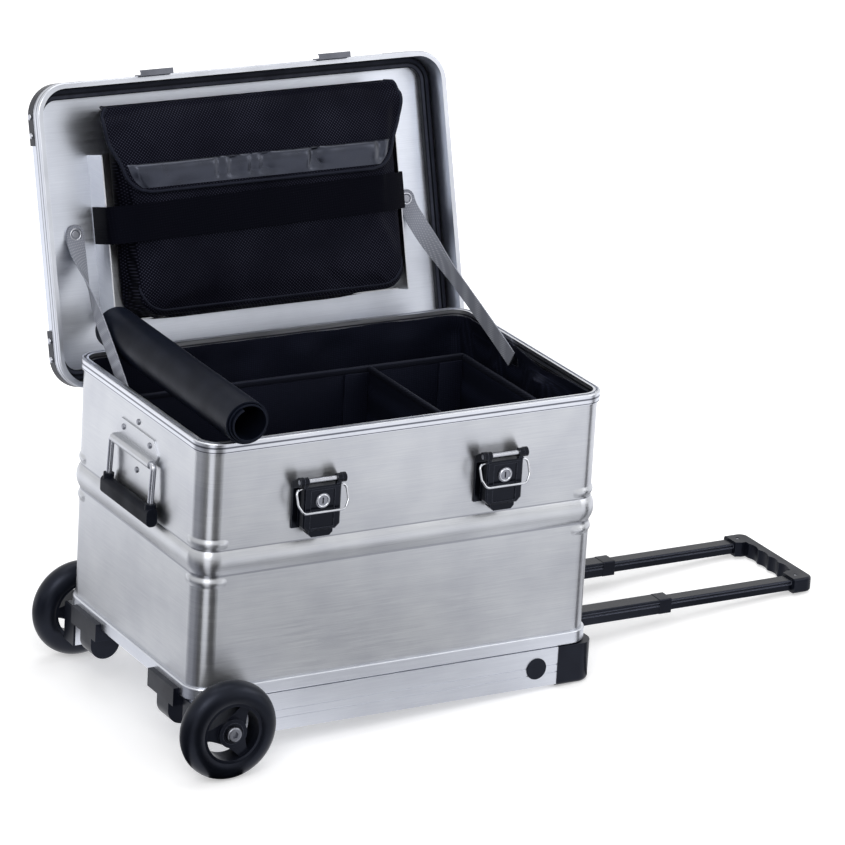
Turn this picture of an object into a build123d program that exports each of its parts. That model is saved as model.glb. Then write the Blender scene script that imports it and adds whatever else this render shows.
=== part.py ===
from build123d import *
import math
import os

# Wheeled aluminium case with an open lid, a railed chassis and an extended pull handle.
# The pieces are built level, X along the case towards the pull handle, Y towards the hinges,
# z = 0 at the top edge of the bottom band. The whole case is then set down on its wheels
# and its rail end caps, which tilts it a little.

# Sheet body
WALL_LENGTH = 570.0
WALL_WIDTH = 364.0
WALL_HEIGHT = 323.6
CORNER_RADIUS = 27.0
SHEET = 1.5
BEAD_DROP = 158.35
BEAD_HEIGHT = 31.5
BEAD_PROUD = 5.0

# Rim profile round the mouth
RIM_HEIGHT = 13.3
RIM_PROUD = 3.0
RIM_INSIDE = 6.0
RIM_GRIP = 5.7
RIM_GROOVE_WIDTH = 3.2
RIM_GROOVE_DEPTH = 3.0

# Bottom band
BAND_HEIGHT = 18.0
BAND_PROUD = 4.0
BAND_LIP = 20.0
BAND_LIP_THICKNESS = 3.0
BAND_EDGE = 3.0

# Lining and dividers
LINING = 2.5
LINING_CLEARANCE = 0.4
LINING_BELOW_RIM = 22.0
DIVIDER = 5.0
DIVIDER_DROP = 41.6
LONG_DIVIDER_INSET = 63.5
FIRST_DIVIDER_INSET = 177.0
LAST_DIVIDER_INSET = 35.5
DIVIDER_TAB = 38.0
DIVIDER_TAB_THICKNESS = 3.0
DIVIDER_CLEARANCE = 0.3

# Rails and their ends
RAIL_HEIGHT = 52.0
RAIL_WIDTH = 28.0
RAIL_WALL = 2.5
RAIL_GROOVE_DROPS = (24.0, 34.5)
RAIL_GROOVE_WIDTH = 1.6
RAIL_GROOVE_DEPTH = 1.0
CAP_LENGTH = 55.0
CAP_OVERHANG = 9.0
CAP_CORNER = 21.0
CAP_PROUD = 1.0
CAP_DROP = 3.0
CAP_EDGE = 6.0
SPIGOT_LENGTH = 14.0
SPIGOT_CLEARANCE = 0.2
HEEL_THICKNESS = 3.0
PLUG_DIAMETER = 29.0
PLUG_PROUD = 1.5
PLUG_STEM_DIAMETER = 16.0
PLUG_FROM_CAP = 32.0
PLUG_DROP = 26.0

# Wheels
WHEEL_DIAMETER = 130.0
TYRE_WIDTH = 35.0
TYRE_SEAT_DIAMETER = 80.0
HUB_WIDTH = 30.0
HUB_RIM = 4.0
HUB_WEB = 20.0
BOSS_DIAMETER = 38.0
SPOKE_COUNT = 3
SPOKE_ARC_RADIUS = 93.0
WHEEL_SETBACK = 31.0
WHEEL_GAP = 12.5
AXLE_DROP = 24.5
AXLE_DIAMETER = 12.0
BOLT_HEAD_DIAMETER = 20.0
BOLT_HEAD_HEIGHT = 5.0
BOLT_SOCKET_DIAMETER = 9.0
BOLT_SOCKET_DEPTH = 3.0
BEARING_DIAMETER = 28.0
BEARING_WIDTH = 8.0
SPACER_DIAMETER = 18.0
NUT_WIDTH = 19.0
NUT_HEIGHT = 8.0
SEAT_CLEARANCE = 0.05
SIDE_CLEARANCE = 0.4
AXLE_ROOM = 1.0

# Stand feet at the wheel end
FOOT_INSET = 70.0
FOOT_WIDTH = 72.0
FOOT_PLATE_TOP = 8.0
FOOT_PLATE_THICKNESS = 8.0
FOOT_BASE_HEIGHT = 14.0
FOOT_BASE_LENGTH = 44.0
FOOT_LOBE_WIDTH = 32.0
FOOT_LOBE_RADIUS = 20.5
FOOT_LOBE_DROP = 28.0

# Pull handle
TUBE_SPREAD = 72.5
TUBE_DROP = 15.5
LOWER_TUBE_WIDTH = 24.0
LOWER_TUBE_HEIGHT = 20.0
TUBE_WALL = 2.0
SLIDE_CLEARANCE = 0.5
TUBE_GROOVE_HEIGHT = 4.0
TUBE_GROOVE_DEPTH = 1.0
TUBE_GROOVE_RISE = 3.5
TUBE_EDGE = 1.5
GUIDE_BACK = 45.0
GUIDE_SHORT = 35.0
LOWER_TRAVEL = 203.0
UPPER_TRAVEL = 190.0
TUBE_OVERLAP = 68.0
COLLAR_LENGTH = 18.0
COLLAR_WALL = 0.5
COLLAR_LIP = 4.0
COLLAR_STANDOFF = 4.0
CROSS_MEMBER_LENGTH = 15.0
CROSS_MEMBER_WHEEL_INSET = 60.0
CROSS_MEMBER_PULL_INSET = 35.0
CROSS_MEMBER_MARGIN = 3.0
GRIP_GAP = 4.0
GRIP_LENGTH = 32.0
GRIP_HEIGHT = 21.0
GRIP_LEG = 33.0
GRIP_BAR = 17.0
GRIP_CORNER = 13.0
GRIP_EDGE = 4.0
GRIP_SOCKET = 22.0
FINGER_COUNT = 4
FINGER_PITCH = 25.0
FINGER_RADIUS = 22.0
FINGER_DEPTH = 3.0
GRIP_SCREW_DIAMETER = 6.0
GRIP_SCREW_RECESS = 1.5
BUTTON_LENGTH = 42.0
BUTTON_HEIGHT = 10.0
BUTTON_DEPTH = 9.0
BUTTON_PROUD = 4.0
BUTTON_TRAVEL = 3.0
BUTTON_CLEARANCE = 0.4

# End handles
HANDLE_PLATE = 2.0
HANDLE_PIVOT_DROP = 68.6
HANDLE_PIVOT_OUT = 7.0
HANDLE_PLATE_DROP = 39.6
HANDLE_PLATE_HALF_TOP = 47.0
HANDLE_PLATE_HALF = 60.0
HANDLE_SHOULDER_DROP = 57.6
HANDLE_CURL_WALL = 2.0
HANDLE_CURL_HALF = 54.0
HANDLE_ROD_DIAMETER = 8.0
HANDLE_ROD_CLEARANCE = 0.08
HANDLE_ROD_BEND = 5.0
HANDLE_LEG_SPREAD = 59.5
HANDLE_PIN_LENGTH = 30.0
HANDLE_GRIP_DROP = 134.6
HANDLE_GRIP_OUT = 10.0
HANDLE_GRIP_DEPTH = 15.0
HANDLE_GRIP_HEIGHT = 24.0
HANDLE_GRIP_HALF = 66.5
HANDLE_GRIP_ROUND = 6.5
HANDLE_SOCKET_RISE = 17.0
HANDLE_SOCKET_DIAMETER = 14.0
HANDLE_RIVET_SPREAD = 37.0
HANDLE_RIVET_DROP = 49.6
WALL_RIVET_UPPER_DROP = 31.1
WALL_RIVET_LOWER_DROP = 94.6
RIVET_DIAMETER = 8.0
RIVET_HEIGHT = 2.0
RIVET_ROUND = 1.8

# Latches
LATCH_SPREAD = 130.0
LATCH_BASE_HALF = 32.0
LATCH_BASE_PLATE = 2.5
LATCH_FOOT_DROP = 123.6
LATCH_TOP_DROP = 61.6
EAR_THICKNESS = 5.5
EAR_RADIUS = 6.2
EAR_ROOT = 10.0
LATCH_PIN_DROP = 58.1
LATCH_PIN_OUT = 17.5
LATCH_PIN_DIAMETER = 6.0
LATCH_FIT = 0.06
LATCH_PROUD = 22.0
LEVER_HALF = 26.0
LEVER_BACK = 6.0
LEVER_TOP_DROP = 65.1
LEVER_FOOT_DROP = 123.6
LEVER_EDGE = 2.0
LEVER_CORNER = 6.0
KNUCKLE_LENGTH = 6.0
KNUCKLE_RADIUS = 5.6
TONGUE_HALF = 17.0
TONGUE_LENGTH = 8.5
TONGUE_STEP = 2.5
PANEL_HALF = 16.5
PANEL_FOOT_DROP = 119.6
PANEL_TOP_DROP = 70.1
PANEL_DEPTH = 1.5
LOCK_DROP = 84.1
LOCK_DIAMETER = 19.5
LOCK_PROUD = 0.5
LOCK_LENGTH = 12.0
LOCK_FIT = 0.1
KEYWAY_WIDTH = 2.0
KEYWAY_LENGTH = 8.0
KEYWAY_DEPTH = 3.0
BAIL_WIRE = 3.0
BAIL_PIVOT_DROP = 68.1
BAIL_PIVOT_OUT = 16.0
BAIL_HALF = 35.0
BAIL_BAR_HALF = 29.0
BAIL_KNEE = 20.0
BAIL_BEND = 7.0
BAIL_BAR_DROP = 28.5
BAIL_BAR_OUT = 12.0
BAIL_SEAT = 5.0
BAIL_SWING = 154.0

# Lid, built closed
LID_LIP_DROP = 33.6
LID_LIP_HEIGHT = 17.0
LID_LIP_PROUD = 14.0
LID_WALL_OFFSET = 8.5
LID_RISE = 9.4
LID_TOP_EDGE = 6.0
LID_LIP_HEM = 2.0
LID_LIP_ROUND = 2.0
SEAL_WIDTH = 13.0
SEAL_CLEARANCE = 0.3
SEAL_GROOVE = 2.0
SEAL_GROOVE_DEPTH = 1.5
SEAL_ROUND = 4.0
GUARD_HEIGHT = 17.0
GUARD_LEG = 77.0
GUARD_EDGE = 2.0
GUARD_RIVETS = (40.0, 64.0)
CATCH_HALF = 23.0
CATCH_PLATE = 1.5
CATCH_CLEARANCE = 0.6
CATCH_RISE = 12.0
CATCH_LEDGE = 3.0
CATCH_TIP = 1.8

# Hinges
HINGE_OUT = 4.5
HINGE_DROP = 41.8
HINGE_SPREAD = 170.0
HINGE_LENGTH = 60.0
HINGE_LEAF = 2.0
HINGE_LEAF_DROP = 45.0
HINGE_BARREL = 4.0
HINGE_PIN_DIAMETER = 4.0
HINGE_FIT = 0.06
HINGE_KNUCKLE_GAP = 0.4
LID_OPENING = 106.1

# Tray, pouch, band and stays in the lid, given as in the closed lid
TRAY_LUG_GAP = 15.5
TRAY_FRONT_INSET = 82.0
TRAY_REAR_INSET = 64.0
TRAY_DEPTH = 42.0
TRAY_LIP = 16.0
TRAY_SHEET = 1.5
POUCH_SIDE_GAP = 4.5
POUCH_FRONT_INSET = 24.0
POUCH_REAR_GAP = 6.0
POUCH_DEPTH = 41.0
POUCH_ROUND = 12.0
POUCH_CLEARANCE = 0.3
FLAP_LENGTH = 96.0
FLAP_SIDE_GAP = 7.0
FLAP_CORNER = 18.0
FLAP = 3.0
BAND_STRAP_WIDTH = 46.0
BAND_STRAP_Y = -10.0
BAND_STRAP = 2.0
BAND_STRAP_TAIL = 28.0
STAY_LID_INSET = 41.0
STAY_LID_Y = 0.0
STAY_LUG_WIDTH = 25.0
STAY_LUG_LENGTH = 30.0
STAY_LUG = 2.0
STAY_RIVET_DIAMETER = 11.0
STAY_RIVET_HEIGHT = 3.0
STAY_STANDOFF = 13.0
STAY_WALL_Y = 40.0
STAY_WALL_DROP = 23.6
STAY_WIDTH = 25.0
STAY = 1.6
STAY_TURN = 90.0
STAY_TURN_SPAN = (0.35, 0.95)
STAY_TURN_STEPS = 8
STAY_WALL_GAP = 1.0
ANCHOR_HEIGHT = 22.0
ANCHOR_WIDTH = 24.0

# Rolled mat across the rims
MAT_RADIUS = 30.0
MAT_BORE_RADIUS = 21.0
MAT_REST = 0.3
MAT_FRONT_INSET = 47.0
MAT_REAR_INSET = 53.5
MAT_FRONT_OVERHANG = 19.0
MAT_RIM_COVER = 4.0


def block(x_range, y_range, z_range):
    """A box between two corners."""
    size = [high - low for low, high in (x_range, y_range, z_range)]
    centre = [(low + high) / 2 for low, high in (x_range, y_range, z_range)]
    return Pos(*centre) * Box(*size)


def rod(start, end, radius):
    """A round bar between two points."""
    span = Vector(*end) - Vector(*start)
    return Solid.make_cylinder(radius, span.length, Plane(origin=start, z_dir=span))


def bent_rod(plane, points, radius, bend):
    """A round bar bent along points of a plane."""
    path = plane * FilletPolyline(*points, radius=bend)
    return sweep(Plane(origin=path @ 0, z_dir=path % 0) * Circle(radius), path=path)


def group(solids):
    """Several separate solids as one node."""
    return Compound([piece for solid in solids for piece in solid.solids()])


def footprint(offset):
    """The wall outline seen from above, moved outwards by an offset."""
    return RectangleRounded(WALL_LENGTH + 2 * offset, WALL_WIDTH + 2 * offset, CORNER_RADIUS + offset)


def prism(offset, low, high):
    """A solid with the wall outline between two levels."""
    return Pos(0, 0, low) * extrude(footprint(offset), amount=high - low)


def around(section):
    """Sweep a section of (outwards, upwards) once round the walls."""
    path = footprint(0).wire()
    along = path % 0
    outwards = along.cross(Vector(0, 0, 1))
    return sweep(Plane(origin=path @ 0, x_dir=outwards, z_dir=-along) * section, path=path)


def slab(u_range, v_range):
    """A rectangle between two corners of a section."""
    centre = [sum(span) / 2 for span in (u_range, v_range)]
    return Pos(*centre) * Rectangle(u_range[1] - u_range[0], v_range[1] - v_range[0])


def corners_near(shape, u, v):
    """The section corner nearest to a point."""
    return shape.vertices().sort_by_distance((u, v))[:1]


SIDES = (-1, 1)
FLOOR_UNDER = BAND_LIP_THICKNESS - BAND_HEIGHT
FLOOR_TOP = FLOOR_UNDER + SHEET
RIM_FOOT = WALL_HEIGHT - RIM_HEIGHT
SHEET_TOP = RIM_FOOT + RIM_GRIP
HALF_LENGTH = WALL_LENGTH / 2
HALF_WIDTH = WALL_WIDTH / 2

# Levels, from the top of the rim
BEAD_LEVEL = WALL_HEIGHT - BEAD_DROP
DIVIDER_TOP = WALL_HEIGHT - DIVIDER_DROP
HANDLE_PIVOT_LEVEL = WALL_HEIGHT - HANDLE_PIVOT_DROP
HANDLE_PLATE_TOP = WALL_HEIGHT - HANDLE_PLATE_DROP
HANDLE_PLATE_SHOULDER = WALL_HEIGHT - HANDLE_SHOULDER_DROP
HANDLE_GRIP_LEVEL = WALL_HEIGHT - HANDLE_GRIP_DROP
HANDLE_RIVET_LEVEL = WALL_HEIGHT - HANDLE_RIVET_DROP
LATCH_BASE_FOOT = WALL_HEIGHT - LATCH_FOOT_DROP
LATCH_BASE_TOP = WALL_HEIGHT - LATCH_TOP_DROP
LATCH_PIN_LEVEL = WALL_HEIGHT - LATCH_PIN_DROP
LEVER_TOP = WALL_HEIGHT - LEVER_TOP_DROP
LEVER_FOOT = WALL_HEIGHT - LEVER_FOOT_DROP
PANEL_FOOT = WALL_HEIGHT - PANEL_FOOT_DROP
PANEL_TOP = WALL_HEIGHT - PANEL_TOP_DROP
LOCK_LEVEL = WALL_HEIGHT - LOCK_DROP
BAIL_PIVOT_LEVEL = WALL_HEIGHT - BAIL_PIVOT_DROP
LID_LIP_LEVEL = WALL_HEIGHT - LID_LIP_DROP
HINGE_LEVEL = WALL_HEIGHT - HINGE_DROP
STAY_WALL_LEVEL = WALL_HEIGHT - STAY_WALL_DROP
LID_TOP = WALL_HEIGHT + LID_RISE

# Places, from the walls and from what carries each piece
LONG_DIVIDER_Y = HALF_WIDTH - LONG_DIVIDER_INSET
CROSS_DIVIDERS_X = (HALF_LENGTH - FIRST_DIVIDER_INSET, HALF_LENGTH - LAST_DIVIDER_INSET)
FOOT_SPREAD = HALF_WIDTH - FOOT_INSET
STAY_LID_X = HALF_LENGTH - STAY_LID_INSET
TRAY_HALF = STAY_LID_X - STAY_LUG_WIDTH / 2 - TRAY_LUG_GAP
TRAY_FRONT = -HALF_WIDTH + TRAY_FRONT_INSET
TRAY_REAR = HALF_WIDTH - TRAY_REAR_INSET
POUCH_HALF = TRAY_HALF - TRAY_SHEET - POUCH_SIDE_GAP
POUCH_FRONT = -HALF_WIDTH + POUCH_FRONT_INSET
POUCH_REAR = TRAY_REAR - POUCH_REAR_GAP
FLAP_HALF = POUCH_HALF - FLAP_SIDE_GAP
FLAP_REAR = POUCH_FRONT + POUCH_ROUND + FLAP_LENGTH
MAT_FRONT_X = -HALF_LENGTH + MAT_FRONT_INSET
MAT_REAR_X = -HALF_LENGTH + MAT_REAR_INSET
CROSS_MEMBERS_X = (-HALF_LENGTH + CROSS_MEMBER_WHEEL_INSET,
                   HALF_LENGTH - CROSS_MEMBER_PULL_INSET - CROSS_MEMBER_LENGTH)


def body_shell():
    """Sheet walls with the bead bowed out of them, and the floor."""
    walls = slab((-SHEET, 0), (FLOOR_UNDER, SHEET_TOP))
    foot = BEAD_LEVEL - BEAD_HEIGHT / 2
    top = BEAD_LEVEL + BEAD_HEIGHT / 2

    def bead(face):
        bow = ThreePointArc((face, foot), (face + BEAD_PROUD, BEAD_LEVEL), (face, top))
        return make_face(bow + Line((face, top), (face, foot)))

    return around(walls + bead(0) - bead(-SHEET)) + prism(0, FLOOR_UNDER, FLOOR_TOP)


def body_rim():
    """Profile over the sheet's top edge, with a groove along its top."""
    section = slab((-RIM_INSIDE, RIM_PROUD), (RIM_FOOT, WALL_HEIGHT))
    section -= slab((-SHEET, 0), (RIM_FOOT, SHEET_TOP))
    middle = (RIM_PROUD - RIM_INSIDE) / 2
    section -= slab((middle - RIM_GROOVE_WIDTH / 2, middle + RIM_GROOVE_WIDTH / 2),
                    (WALL_HEIGHT - RIM_GROOVE_DEPTH, WALL_HEIGHT))
    section = fillet(corners_near(section, RIM_PROUD, WALL_HEIGHT), RIM_PROUD / 2)
    return around(section)


def bottom_band():
    """Angle profile round the foot of the walls and under the floor's edge."""
    section = slab((0, BAND_PROUD), (-BAND_HEIGHT, 0))
    section += slab((-BAND_LIP, 0), (-BAND_HEIGHT, FLOOR_UNDER))
    section = fillet(corners_near(section, BAND_PROUD, -BAND_HEIGHT), BAND_EDGE)
    section = fillet(corners_near(section, BAND_PROUD, 0), BAND_PROUD / 2)
    return around(section)


LINING_OUTSIDE = -SHEET - LINING_CLEARANCE
LINING_INSIDE = LINING_OUTSIDE - LINING
LINING_FLOOR = FLOOR_TOP + LINING_CLEARANCE + LINING
LINING_TOP = WALL_HEIGHT - LINING_BELOW_RIM


def lining():
    """Fabric liner standing inside the walls."""
    outside = prism(LINING_OUTSIDE, FLOOR_TOP + LINING_CLEARANCE, LINING_TOP)
    return outside - prism(LINING_INSIDE, LINING_FLOOR, LINING_TOP)


def dividers():
    """Long divider in front of the rear wall and cross dividers tabbed to it."""
    room_x = HALF_LENGTH + LINING_INSIDE - DIVIDER_CLEARANCE
    room_y = HALF_WIDTH + LINING_INSIDE - DIVIDER_CLEARANCE
    levels = (LINING_FLOOR + DIVIDER_CLEARANCE, DIVIDER_TOP)
    long_face = LONG_DIVIDER_Y - DIVIDER / 2
    last = CROSS_DIVIDERS_X[-1] + DIVIDER / 2
    solids = [block((-room_x, last), (long_face, LONG_DIVIDER_Y + DIVIDER / 2), levels)]
    for x in CROSS_DIVIDERS_X:
        rear = long_face - DIVIDER_CLEARANCE
        board = block((x - DIVIDER / 2, x + DIVIDER / 2), (-room_y, rear), levels)
        tab = block((x - DIVIDER_TAB, x), (rear - DIVIDER_TAB_THICKNESS, rear), levels)
        solids.append(board + tab)
    return group(solids)


RAIL_TOP = -BAND_HEIGHT
RAIL_FOOT = RAIL_TOP - RAIL_HEIGHT
RAIL_FACE = HALF_WIDTH + BAND_PROUD
RAIL_BACK = RAIL_FACE - RAIL_WIDTH
CAP_TIP = HALF_LENGTH + CAP_OVERHANG
RAIL_END = CAP_TIP - CAP_LENGTH
AXLE_X = -HALF_LENGTH + WHEEL_SETBACK
AXLE_LEVEL = RAIL_TOP - AXLE_DROP
PLUG_X = RAIL_END - PLUG_FROM_CAP
PLUG_LEVEL = RAIL_TOP - PLUG_DROP


def rail(side):
    """Hollow rail under one long edge of the case; side is -1 at the front."""
    faces = sorted((side * RAIL_FACE, side * RAIL_BACK))
    inner = (faces[0] + RAIL_WALL, faces[1] - RAIL_WALL)
    bar = block((-HALF_LENGTH, RAIL_END), faces, (RAIL_FOOT, RAIL_TOP))
    bar -= block((-HALF_LENGTH, RAIL_END), inner, (RAIL_FOOT + RAIL_WALL, RAIL_TOP - RAIL_WALL))
    for drop in RAIL_GROOVE_DROPS:
        cut = sorted((side * RAIL_FACE, side * (RAIL_FACE - RAIL_GROOVE_DEPTH)))
        top = RAIL_TOP - drop + RAIL_GROOVE_WIDTH / 2
        bar -= block((-HALF_LENGTH, RAIL_END), cut, (top - RAIL_GROOVE_WIDTH, top))
    axle = AXLE_DIAMETER / 2 + SEAT_CLEARANCE
    bar -= rod((AXLE_X, faces[0], AXLE_LEVEL), (AXLE_X, faces[1], AXLE_LEVEL), axle)
    stem = PLUG_STEM_DIAMETER / 2 + SEAT_CLEARANCE
    plug_ends = [(PLUG_X, side * y, PLUG_LEVEL) for y in (RAIL_FACE - RAIL_WALL, RAIL_FACE)]
    return bar - rod(*plug_ends, stem)


def rail_spigot(side, x_range):
    """The stub of an end piece inside the hollow rail."""
    inset = RAIL_WALL + SPIGOT_CLEARANCE
    faces = sorted((side * (RAIL_FACE - inset), side * (RAIL_BACK + inset)))
    return block(x_range, faces, (RAIL_FOOT + inset, RAIL_TOP - inset))


def rail_end_cap(side):
    """Rounded plastic end of one rail, which the case also stands on."""
    outside = side * (RAIL_FACE + CAP_PROUD)
    inside = side * RAIL_BACK
    cap = block((RAIL_END, CAP_TIP), sorted((outside, inside)), (RAIL_FOOT - CAP_DROP, RAIL_TOP))
    tip_edges = cap.edges().filter_by(Axis.Z).sort_by_distance((CAP_TIP, outside, RAIL_TOP))
    cap = fillet(tip_edges[:1], CAP_CORNER)
    under = cap.faces().sort_by(Axis.Z)[0].edges().sort_by(Axis.X)
    cap = fillet([edge for edge in under if edge.center().X > RAIL_END + CAP_EDGE], CAP_EDGE)
    return cap + rail_spigot(side, (RAIL_END - SPIGOT_LENGTH, RAIL_END))


def rail_heel_plug(side):
    """Flat plastic end of one rail beside the wheel."""
    faces = sorted((side * RAIL_FACE, side * RAIL_BACK))
    plate = block((-HALF_LENGTH - HEEL_THICKNESS, -HALF_LENGTH), faces, (RAIL_FOOT, RAIL_TOP))
    return plate + rail_spigot(side, (-HALF_LENGTH, -HALF_LENGTH + SPIGOT_LENGTH))


def rail_face_plug(side):
    """Round plug in the outer face of one rail."""
    face = side * RAIL_FACE
    head = rod((PLUG_X, face, PLUG_LEVEL), (PLUG_X, face + side * PLUG_PROUD, PLUG_LEVEL), PLUG_DIAMETER / 2)
    circles = head.edges().filter_by(GeomType.CIRCLE).sort_by(Axis.Y)
    head = fillet(circles[-1 if side > 0 else 0], PLUG_PROUD / 2)
    inner = (PLUG_X, side * (RAIL_FACE - RAIL_WALL), PLUG_LEVEL)
    return head + rod(inner, (PLUG_X, face, PLUG_LEVEL), PLUG_STEM_DIAMETER / 2)


TYRE_FACE = RAIL_FACE + WHEEL_GAP
WHEEL_MID = TYRE_FACE + TYRE_WIDTH / 2


def wheel_plane(side):
    """Plane at the wheel's middle with its normal along the axle, outwards."""
    return Plane(origin=(AXLE_X, side * WHEEL_MID, AXLE_LEVEL), x_dir=(1, 0, 0), z_dir=(0, side, 0))


def ring(outer, inner, low, high):
    """A tube along the axle between two distances from the wheel's middle."""
    return Pos(0, 0, low) * extrude(Circle(outer) - Circle(inner), amount=high - low)


def tyre(side):
    """Round-shouldered rubber tyre."""
    round_radius = TYRE_WIDTH / 2
    middle = WHEEL_DIAMETER / 2 - round_radius
    seat = TYRE_SEAT_DIAMETER / 2 + SEAT_CLEARANCE
    section = Pos(middle, 0) * Circle(round_radius) & slab((seat, WHEEL_DIAMETER), (-TYRE_WIDTH, TYRE_WIDTH))
    turned = revolve(Plane.XZ * section, axis=Axis.Z)
    return wheel_plane(side) * turned


def hub(side):
    """Spoked hub with seats for its bearings."""
    rim_inner = TYRE_SEAT_DIAMETER / 2 - HUB_RIM
    boss = BOSS_DIAMETER / 2
    axle_room = AXLE_DIAMETER / 2 + AXLE_ROOM
    turned = ring(TYRE_SEAT_DIAMETER / 2, rim_inner, -HUB_WIDTH / 2, HUB_WIDTH / 2)
    turned += ring(rim_inner, boss, -HUB_WEB / 2, HUB_WEB / 2)
    turned += ring(boss, axle_room, -HUB_WIDTH / 2, HUB_WIDTH / 2)
    reach = boss + SPOKE_ARC_RADIUS
    for turn in range(SPOKE_COUNT):
        arc = Rot(0, 0, 360 * turn / SPOKE_COUNT) * Pos(reach, 0) * Circle(SPOKE_ARC_RADIUS)
        lens = Circle(rim_inner) & arc
        turned -= Pos(0, 0, -HUB_WEB / 2) * extrude(lens, amount=HUB_WEB)
    seat = BEARING_DIAMETER / 2 + SEAT_CLEARANCE
    for end in SIDES:
        low, high = sorted((end * HUB_WIDTH / 2, end * (HUB_WIDTH / 2 - BEARING_WIDTH)))
        turned -= Pos(0, 0, low) * extrude(Circle(seat), amount=high - low)
    return wheel_plane(side) * turned


def bearings(side):
    """Ball bearings at both faces of one hub."""
    solids = []
    for end in SIDES:
        low, high = sorted((end * HUB_WIDTH / 2, end * (HUB_WIDTH / 2 - BEARING_WIDTH)))
        bore = AXLE_DIAMETER / 2 + SEAT_CLEARANCE
        solids.append(wheel_plane(side) * ring(BEARING_DIAMETER / 2, bore, low, high))
    return group(solids)


BOLT_HEAD_FOOT = WHEEL_MID + HUB_WIDTH / 2 + SIDE_CLEARANCE
NUT_FACE = RAIL_BACK


def axle_bolt(side):
    """Shoulder bolt that carries one wheel, with a hexagon socket in its head."""
    shank_ends = [(AXLE_X, side * y, AXLE_LEVEL) for y in (NUT_FACE - NUT_HEIGHT, BOLT_HEAD_FOOT)]
    bolt = rod(*shank_ends, AXLE_DIAMETER / 2)
    head_top = BOLT_HEAD_FOOT + BOLT_HEAD_HEIGHT
    head_ends = [(AXLE_X, side * y, AXLE_LEVEL) for y in (BOLT_HEAD_FOOT, head_top)]
    head = rod(*head_ends, BOLT_HEAD_DIAMETER / 2)
    outer = head.edges().filter_by(GeomType.CIRCLE).sort_by(Axis.Y)[-1 if side > 0 else 0]
    head = fillet(outer, BOLT_HEAD_HEIGHT / 2)
    plane = Plane(origin=head_ends[1], x_dir=(1, 0, 0), z_dir=(0, -side, 0))
    socket = plane * extrude(RegularPolygon(BOLT_SOCKET_DIAMETER / 2, 6), amount=BOLT_SOCKET_DEPTH)
    return bolt + head - socket


def axle_spacer(side):
    """Tube between the rail and the inner bearing."""
    end = WHEEL_MID - HUB_WIDTH / 2 - SIDE_CLEARANCE
    span = [(AXLE_X, side * y, AXLE_LEVEL) for y in (RAIL_FACE, end)]
    return rod(*span, SPACER_DIAMETER / 2) - rod(*span, AXLE_DIAMETER / 2 + SEAT_CLEARANCE)


def axle_nut(side):
    """Nut on the inner face of the rail."""
    plane = Plane(origin=(AXLE_X, side * NUT_FACE, AXLE_LEVEL), x_dir=(1, 0, 0), z_dir=(0, -side, 0))
    hexagon = RegularPolygon(NUT_WIDTH / 2, 6, major_radius=False)
    return plane * extrude(hexagon - Circle(AXLE_DIAMETER / 2 + SEAT_CLEARANCE), amount=NUT_HEIGHT)


def stand_foot(side):
    """Moulded foot hooked over the band at the wheel end."""
    band_face = -HALF_LENGTH - BAND_PROUD
    front = band_face - FOOT_PLATE_THICKNESS
    y_range = (side * FOOT_SPREAD - FOOT_WIDTH / 2, side * FOOT_SPREAD + FOOT_WIDTH / 2)
    base_foot = RAIL_TOP - FOOT_BASE_HEIGHT
    foot = block((front, band_face), y_range, (base_foot, -FOOT_PLATE_TOP))
    foot += block((front, front + FOOT_BASE_LENGTH), y_range, (base_foot, RAIL_TOP))
    lobe_y = (side * FOOT_SPREAD - FOOT_LOBE_WIDTH / 2, side * FOOT_SPREAD + FOOT_LOBE_WIDTH / 2)
    lobe_x = front + FOOT_PLATE_THICKNESS / 2 + FOOT_LOBE_RADIUS
    lobe_level = RAIL_TOP - FOOT_LOBE_DROP
    foot += rod((lobe_x, lobe_y[0], lobe_level), (lobe_x, lobe_y[1], lobe_level), FOOT_LOBE_RADIUS)
    foot += block((lobe_x - FOOT_LOBE_RADIUS, lobe_x + FOOT_LOBE_RADIUS), lobe_y, (lobe_level, base_foot))
    return foot


TUBE_LEVEL = RAIL_TOP - TUBE_DROP
GUIDE_START = -HALF_LENGTH + GUIDE_BACK
GUIDE_END = HALF_LENGTH - GUIDE_SHORT
GUIDE_WIDTH = LOWER_TUBE_WIDTH + 2 * (SLIDE_CLEARANCE + TUBE_WALL)
GUIDE_HEIGHT = LOWER_TUBE_HEIGHT + 2 * (SLIDE_CLEARANCE + TUBE_WALL)
UPPER_TUBE_WIDTH = LOWER_TUBE_WIDTH - 2 * (TUBE_WALL + SLIDE_CLEARANCE)
UPPER_TUBE_HEIGHT = LOWER_TUBE_HEIGHT - 2 * (TUBE_WALL + SLIDE_CLEARANCE)
COLLAR_END = GUIDE_END + COLLAR_STANDOFF + COLLAR_LENGTH + LOWER_TRAVEL
GRIP_START = COLLAR_END + GRIP_GAP + UPPER_TRAVEL
GRIP_END = GRIP_START + GRIP_LENGTH
GRIP_HALF = TUBE_SPREAD + GRIP_LEG / 2


def tube_block(side, x_range, width, height):
    """A box of the given section round the middle line of one handle tube."""
    y = side * TUBE_SPREAD
    return block(x_range, (y - width / 2, y + width / 2), (TUBE_LEVEL - height / 2, TUBE_LEVEL + height / 2))


def box_tube(side, x_range, width, height):
    """Hollow tube of the pull handle along X."""
    outside = tube_block(side, x_range, width, height)
    outside = fillet(outside.edges().filter_by(Axis.X), TUBE_EDGE)
    return outside - tube_block(side, x_range, width - 2 * TUBE_WALL, height - 2 * TUBE_WALL)


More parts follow.
